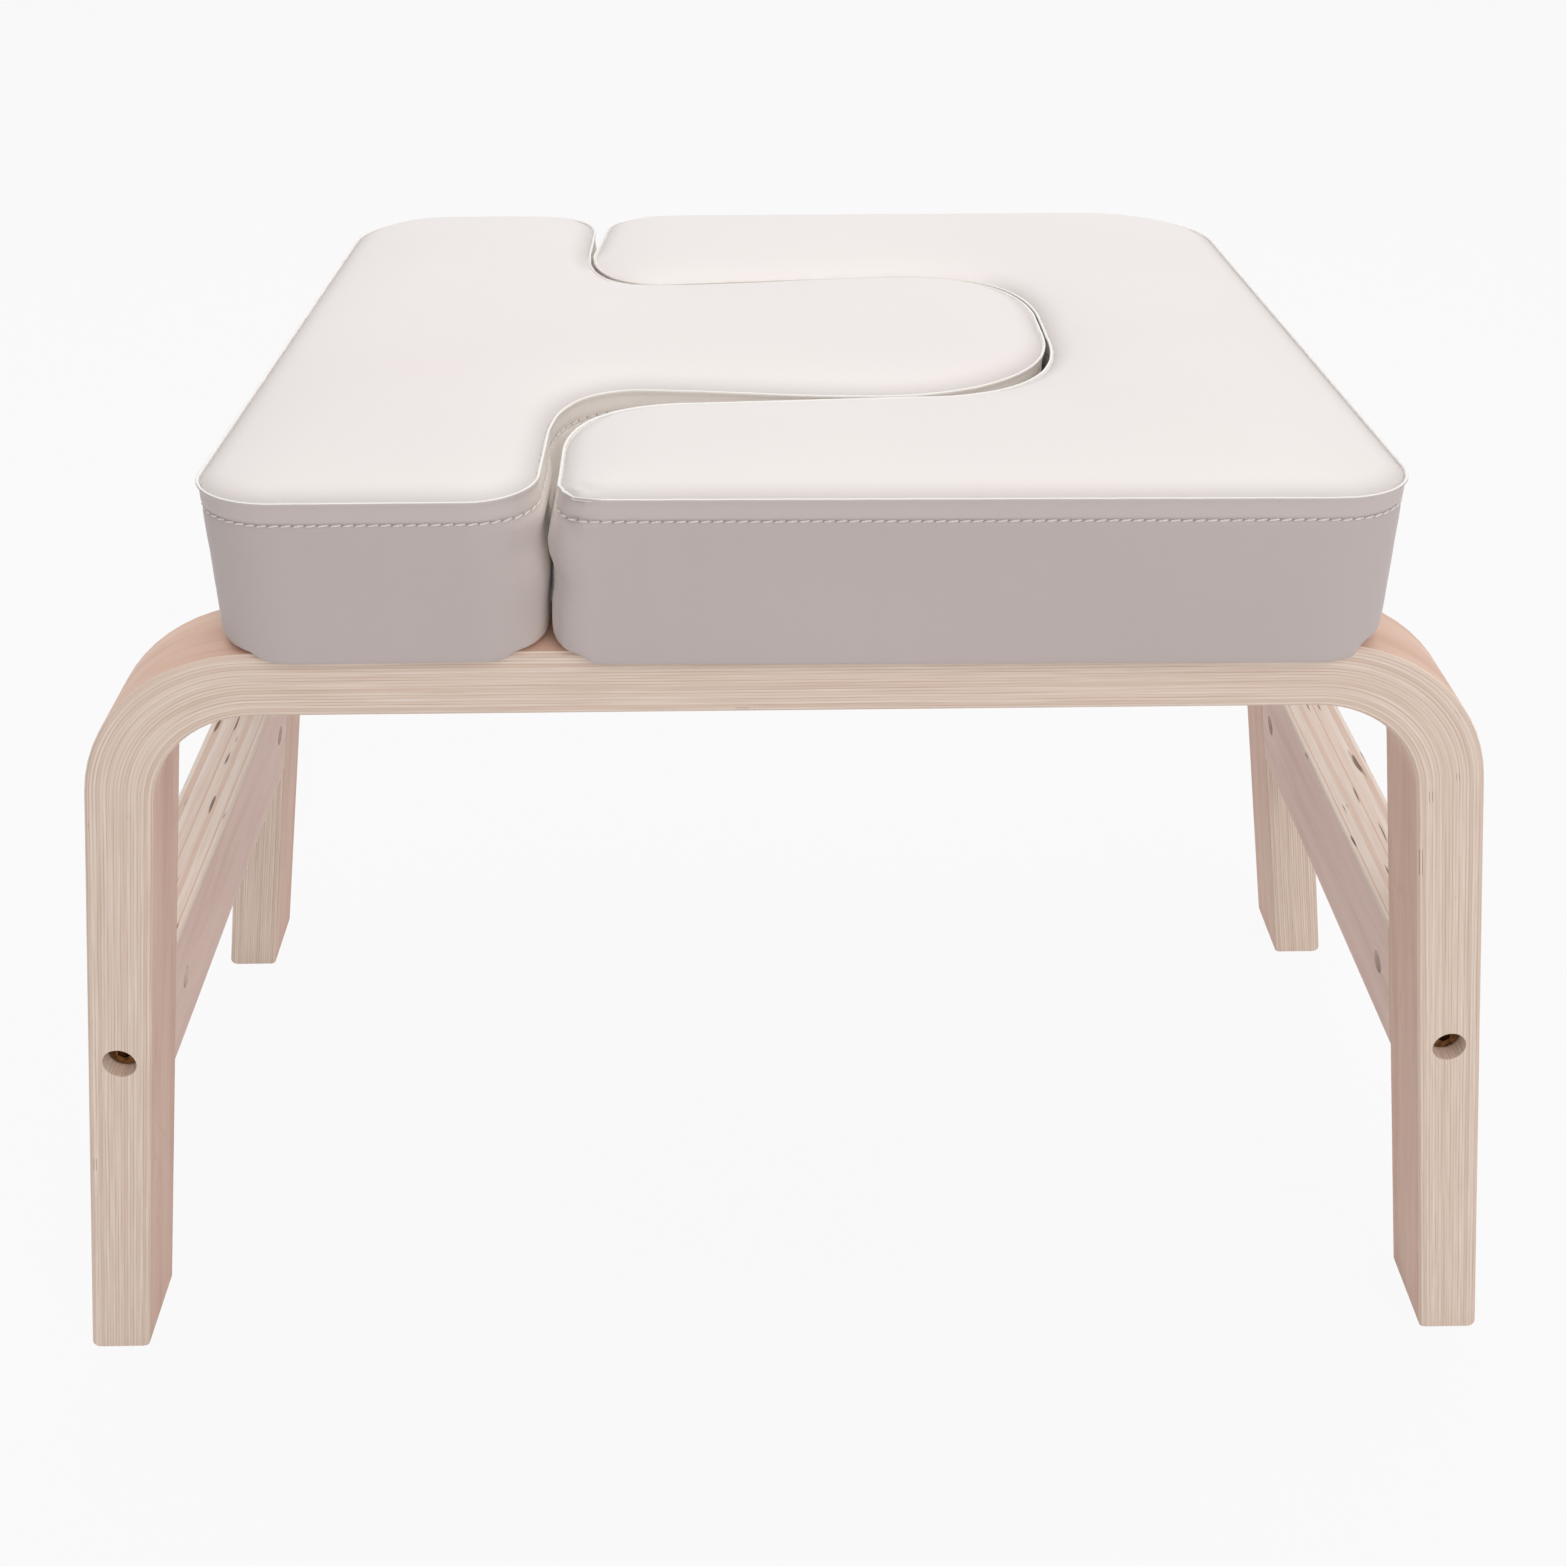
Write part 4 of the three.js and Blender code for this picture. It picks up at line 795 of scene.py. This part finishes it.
def pad_cover(name, line, body, node, extra_wave):
    """A boxed cover: crowned top, rolled edge, ridged seam, stitched boxing and a hem under the board."""
    shape = bmesh.new()
    top_sheet(shape, line)
    station = shape.verts.layers.float.new("station")
    across = shape.verts.layers.float.new("across")
    painted_light = shape.verts.layers.float.new("painted_light")
    pressed = shape.verts.layers.float.new("pressed")
    edge = [one for one in shape.edges if one.is_boundary]
    rim = {vert for one in edge for vert in one.verts}
    for vert in shape.verts:
        vert[station], away = line.nearest(vert.co)
        vert[across] = away
        if vert in rim:
            vert.co = line.at(vert[station], TOP_INSET)
            vert[across] = TOP_INSET
        vert.co.z = top_height(line.softened(vert.co))
    for vert in shape.verts:
        if vert not in rim:
            fade = rise(vert[across] - TOP_INSET, 20)
            vert.co.z += fade * TOP_WAVE_HEIGHT * noise.noise(vert.co / TOP_WAVE)

    def grow(edge, inset, height, distance):
        """Extrudes the rim of the cover to its next row. A height of None follows the padded top."""
        grown = bmesh.ops.extrude_edge_only(shape, edges=edge)["geom"]
        for vert in (one for one in grown if isinstance(one, bmesh.types.BMVert)):
            on_line = line.at(vert[station])
            level = height or SEAM_HEIGHT
            wave = side_wave(on_line, level) + extra_wave(on_line, level)
            if abs(inset) < 1:
                wave += RIDGE_WAVE_HEIGHT * noise.noise(Vector((vert[station] / RIDGE_WAVE, 3, 0)))
            vert.co = line.at(vert[station], inset - wave)
            if height:
                vert.co.z = height - sag(on_line, height, inset)
            else:
                vert.co.z = top_height(line.softened(vert.co))
            vert[across] = distance
        return [one for one in grown if isinstance(one, bmesh.types.BMEdge)]

    for inset in ROLL_ROWS:
        edge = grow(edge, inset, None, inset)
    for inset, height in RIDGE_ROWS:
        edge = grow(edge, inset, height, inset)
    for inset, height in SIDE_ROWS:
        edge = grow(edge, inset, height, height - RIDGE_HEIGHT)
    for vert in shape.verts:
        # This mask leaves the painted seam shade and highlight off behind the tongue
        vert[pressed] = unpainted_seam_share(vert.co)
        # Painted light on the gap walls and, more faintly, on the band above the stitch row
        if vert[across] < 0:
            vert[painted_light] = max(gap_share(vert.co), PAINTED_STRIP_LIGHT if vert[across] > -STITCH_DROP else 0)
    seam_uv = shape.loops.layers.uv.new("seam")
    run_scale = round(line.length / STITCH_SPACING) * STITCH_SPACING / line.length
    for face in shape.faces:
        face.smooth = True
        places = [loop.vert[station] for loop in face.loops]
        wraps = max(places) - min(places) > line.length / 2
        face.material_index = 1 if all(loop.vert[across] < -0.1 for loop in face.loops) else 0
        for loop, place in zip(face.loops, places):
            if wraps and place < line.length / 2:
                place += line.length
            loop[seam_uv].uv = (place * run_scale * MM, loop.vert[across] * MM)
    shape.transform(Matrix.Scale(MM, 4))
    bmesh.ops.recalc_face_normals(shape, faces=shape.faces)
    looseness = [0.0] * len(shape.verts)
    shape.verts.index_update()
    for vert in shape.verts:
        top = rise(vert[across] - ROLL_EDGE, LOOSE_REACH)
        side = max(0, 1 - abs(vert[across] - SIDE_MIDDLE) / LOOSE_REACH) * (1 - vert[painted_light])
        looseness[vert.index] = TOP_PRESS * top + SIDE_PRESS * side
    piece = new_piece(name, shape, body, "cream_leather", top_leather, shaded_boxing_leather)
    press_out(piece, looseness)
    wall = piece.modifiers.new("leather_thickness", "SOLIDIFY")
    wall.thickness = LEATHER_THICKNESS * MM
    wall.offset = -1
    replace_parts(piece, node)
    return piece


def drawn_in(node, line, inset):
    """Copies a CAD node inside a pad and keeps it inside the leather, whose corners are rounder."""
    shape = merged_copy(node)
    longer = [edge for edge in shape.edges if edge.calc_length() > LONGEST_EDGE * MM]
    bmesh.ops.subdivide_edges(shape, edges=longer, cuts=7)
    for vert in shape.verts:
        point = Vector((vert.co.x, vert.co.y, 0)) / MM
        if line.depth(point) < inset:
            nearest, index, _ = line.tree.find(point)
            point = nearest + line.inward[index] * inset
        top = top_height(line.softened(point)) - TOP_CLEARANCE
        vert.co = Vector((point.x, point.y, min(vert.co.z / MM, top))) * MM
    return shape


def topstitch(name, line, body, extra_wave):
    """A row of thread stitches below the seam, each tilted, with both ends sunk into the leather."""
    bead = bmesh.new()
    lying = Matrix.Rotation(math.pi / 2, 4, "Y")
    bmesh.ops.create_uvsphere(bead, u_segments=8, v_segments=8, radius=1, matrix=lying)
    bead.transform(Matrix.Diagonal((*STITCH_HALVES, 1)))
    shape = bmesh.new()
    count = round(line.length / STITCH_SPACING)
    for index in range(count):
        place = line.length * (index + 0.5) / count
        wander = noise.noise(Vector((place / STITCH_WAVE, 5, 0)))
        height = SEAM_HEIGHT - STITCH_DROP + STITCH_WAVE_HEIGHT * wander
        on_line = line.at(place)
        middle = line.at(place, STITCH_SINK - side_wave(on_line, height) - extra_wave(on_line, height))
        middle.z = height
        run = line.at(place + 1) - line.at(place - 1)
        turn = Matrix.Rotation(math.atan2(run.y, run.x), 4, "Z") @ Matrix.Rotation(STITCH_TILT, 4, "Y")
        verts = [shape.verts.new(middle + turn @ vert.co) for vert in bead.verts]
        for face in bead.faces:
            shape.faces.new([verts[vert.index] for vert in face.verts]).smooth = True
    bead.free()
    shape.transform(Matrix.Scale(MM, 4))
    return new_piece(name, shape, body, "cream_leather", thread)


# How far the shoulder pad stands out into the slots at each height, in millimetres, read one by one
SLOT_HEIGHTS = [349, 353, 358, 365, 371, 376, 381, 385.5, 390, 396, 401, 405, 408]
SLOT_SWELLS = [5.0, 5.8, 5.8, 5.3, 4.2, 3.7, 4.6, 6.0, 5.6, 3.6, 1.6, 1.0, 0]


def beside_slot(point):
    """How near a point is to the front slot between the pads, or to the back one, which is narrower."""
    across = rise(SLOT_HALF - abs(point.x - SLOT_MIDDLE), 8)
    along = rise(abs(point.y) - SLOT_START, 18)
    return across * along * (1 if point.y < 0 else BACK_SLOT_SHARE)


def insert_wave(point, height):
    """The insert presses out most where the shoulder pad gives way."""
    swell = min(MOST_SWELL - np.interp(height, SLOT_HEIGHTS, SLOT_SWELLS), INSERT_SWELL)
    return beside_slot(point) * swell * rise(SEAM_HEIGHT - height, 12)


def shoulder_wave(point, height):
    """The shoulder pad's walls stand out beside the slots."""
    return beside_slot(point) * np.interp(height, SLOT_HEIGHTS, SLOT_SWELLS)


def crumple(piece):
    """Small folds where the leather is gathered round a tight corner of the seam, the same in each run."""
    noise.seed_set(FOLD_SEED)
    for vert in piece.data.vertices:
        near = max(0, 1 - (vert.co / MM - FOLD_CORNER).length / FOLD_REACH)
        vert.co += noise.noise_vector(vert.co / MM / FOLD_SIZE) * near ** 0.5 * FOLD_HEIGHT * MM


pads = [
    ("insert", insert_line, "insert", insert_wave),
    ("shoulder_pad", shoulder_line, "stool", shoulder_wave),
]
for name, outline, body, wave in pads:
    line = SeamLine(flared(outline))
    leather = pad_cover(f"{name}_leather", line, body, f"{name}_cover", wave)
    if name == "shoulder_pad":
        crumple(leather)
    topstitch(f"{name}_topstitch", line, body, wave)
    shape = drawn_in(f"{name}_board", line, PADDING_INSET)
    board = new_piece(f"{name}_plywood", shape, body, "plywood", seat_ply)
    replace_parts(even_normals(board), f"{name}_board")
    shape = drawn_in(f"{name}_foam", line, PADDING_INSET)
    filling = new_piece(f"{name}_filling", shape, body, "foam", foam)
    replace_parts(filling, f"{name}_foam")
    shape = drawn_in(f"{name}_dust_cloth", line, CLOTH_INSET)
    cloth = new_piece(f"{name}_spunbond", shape, body, "dust_cloth", dust_cloth)
    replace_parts(cloth, f"{name}_dust_cloth")


# Studio: a pale floor and backdrop, a broad lamp overhead and a soft one in front

def pale_surface(name, share):
    """A pale studio surface that the camera sees as near white, and that still takes soft shadows."""
    made, tree = new_material(name)
    rays = add(tree, "ShaderNodeLightPath")
    seen = add(tree, "ShaderNodeMath", {0: (rays, "Is Camera Ray"), 1: (rays, "Is Glossy Ray")},
               operation="MAXIMUM")
    seen = add(tree, "ShaderNodeMath", {0: seen, 1: (rays, "Is Transmission Ray")}, operation="MAXIMUM")
    seen = add(tree, "ShaderNodeMath", {0: seen, 1: share}, operation="MULTIPLY")
    plain = add(tree, "ShaderNodeBsdfDiffuse", {"Color": linear("#F4F3F3")})
    bright = add(tree, "ShaderNodeEmission", {"Color": linear("#FCFBFC"), "Strength": 1.0})
    return finished(made, add(tree, "ShaderNodeMixShader", {0: seen, 1: plain, 2: bright}))


shape = bmesh.new()
bmesh.ops.create_grid(shape, x_segments=1, y_segments=1, size=12)
floor = new_object("studio_floor", new_mesh("studio_floor", shape, pale_surface("studio_floor", 0.96)))
floor.location.z = -0.2 * MM

world = bpy.data.worlds.new("studio")
world.use_nodes = True
world.node_tree.nodes.clear()
sky = world.node_tree
rays = add(sky, "ShaderNodeLightPath")
seen = add(sky, "ShaderNodeMath", {0: (rays, "Is Camera Ray"), 1: (rays, "Is Glossy Ray")},
           operation="MAXIMUM")
around = add(sky, "ShaderNodeBackground", {"Color": linear("#FFFCFA"), "Strength": 0.42})
behind = add(sky, "ShaderNodeBackground", {"Color": linear("#FCFBFC"), "Strength": 1.0})
blend = add(sky, "ShaderNodeMixShader", {0: seen, 1: around, 2: behind})
add(sky, "ShaderNodeOutputWorld", {"Surface": blend})
bpy.context.scene.world = world


def lamp(name, place, target, size, power, colour):
    """Adds a round lamp that points at its target."""
    light = bpy.data.lights.new(name, "AREA")
    light.shape = "DISK"
    light.size = size
    light.energy = power
    light.color = linear(colour)[:3]
    piece = new_object(name, light)
    piece.location = place
    piece.rotation_euler = (Vector(target) - Vector(place)).to_track_quat("-Z", "Y").to_euler()


lamp("overhead_lamp", (0.1, 0.5, 2.4), (0, 0, 0.3), 2.2, 22, "#FFFFFF")
lamp("front_lamp", (0.9, -2.2, 2.0), (0, 0, 0.2), 2.0, 21.5, "#FFF8F4")

bpy.context.scene.view_settings.view_transform = "Standard"
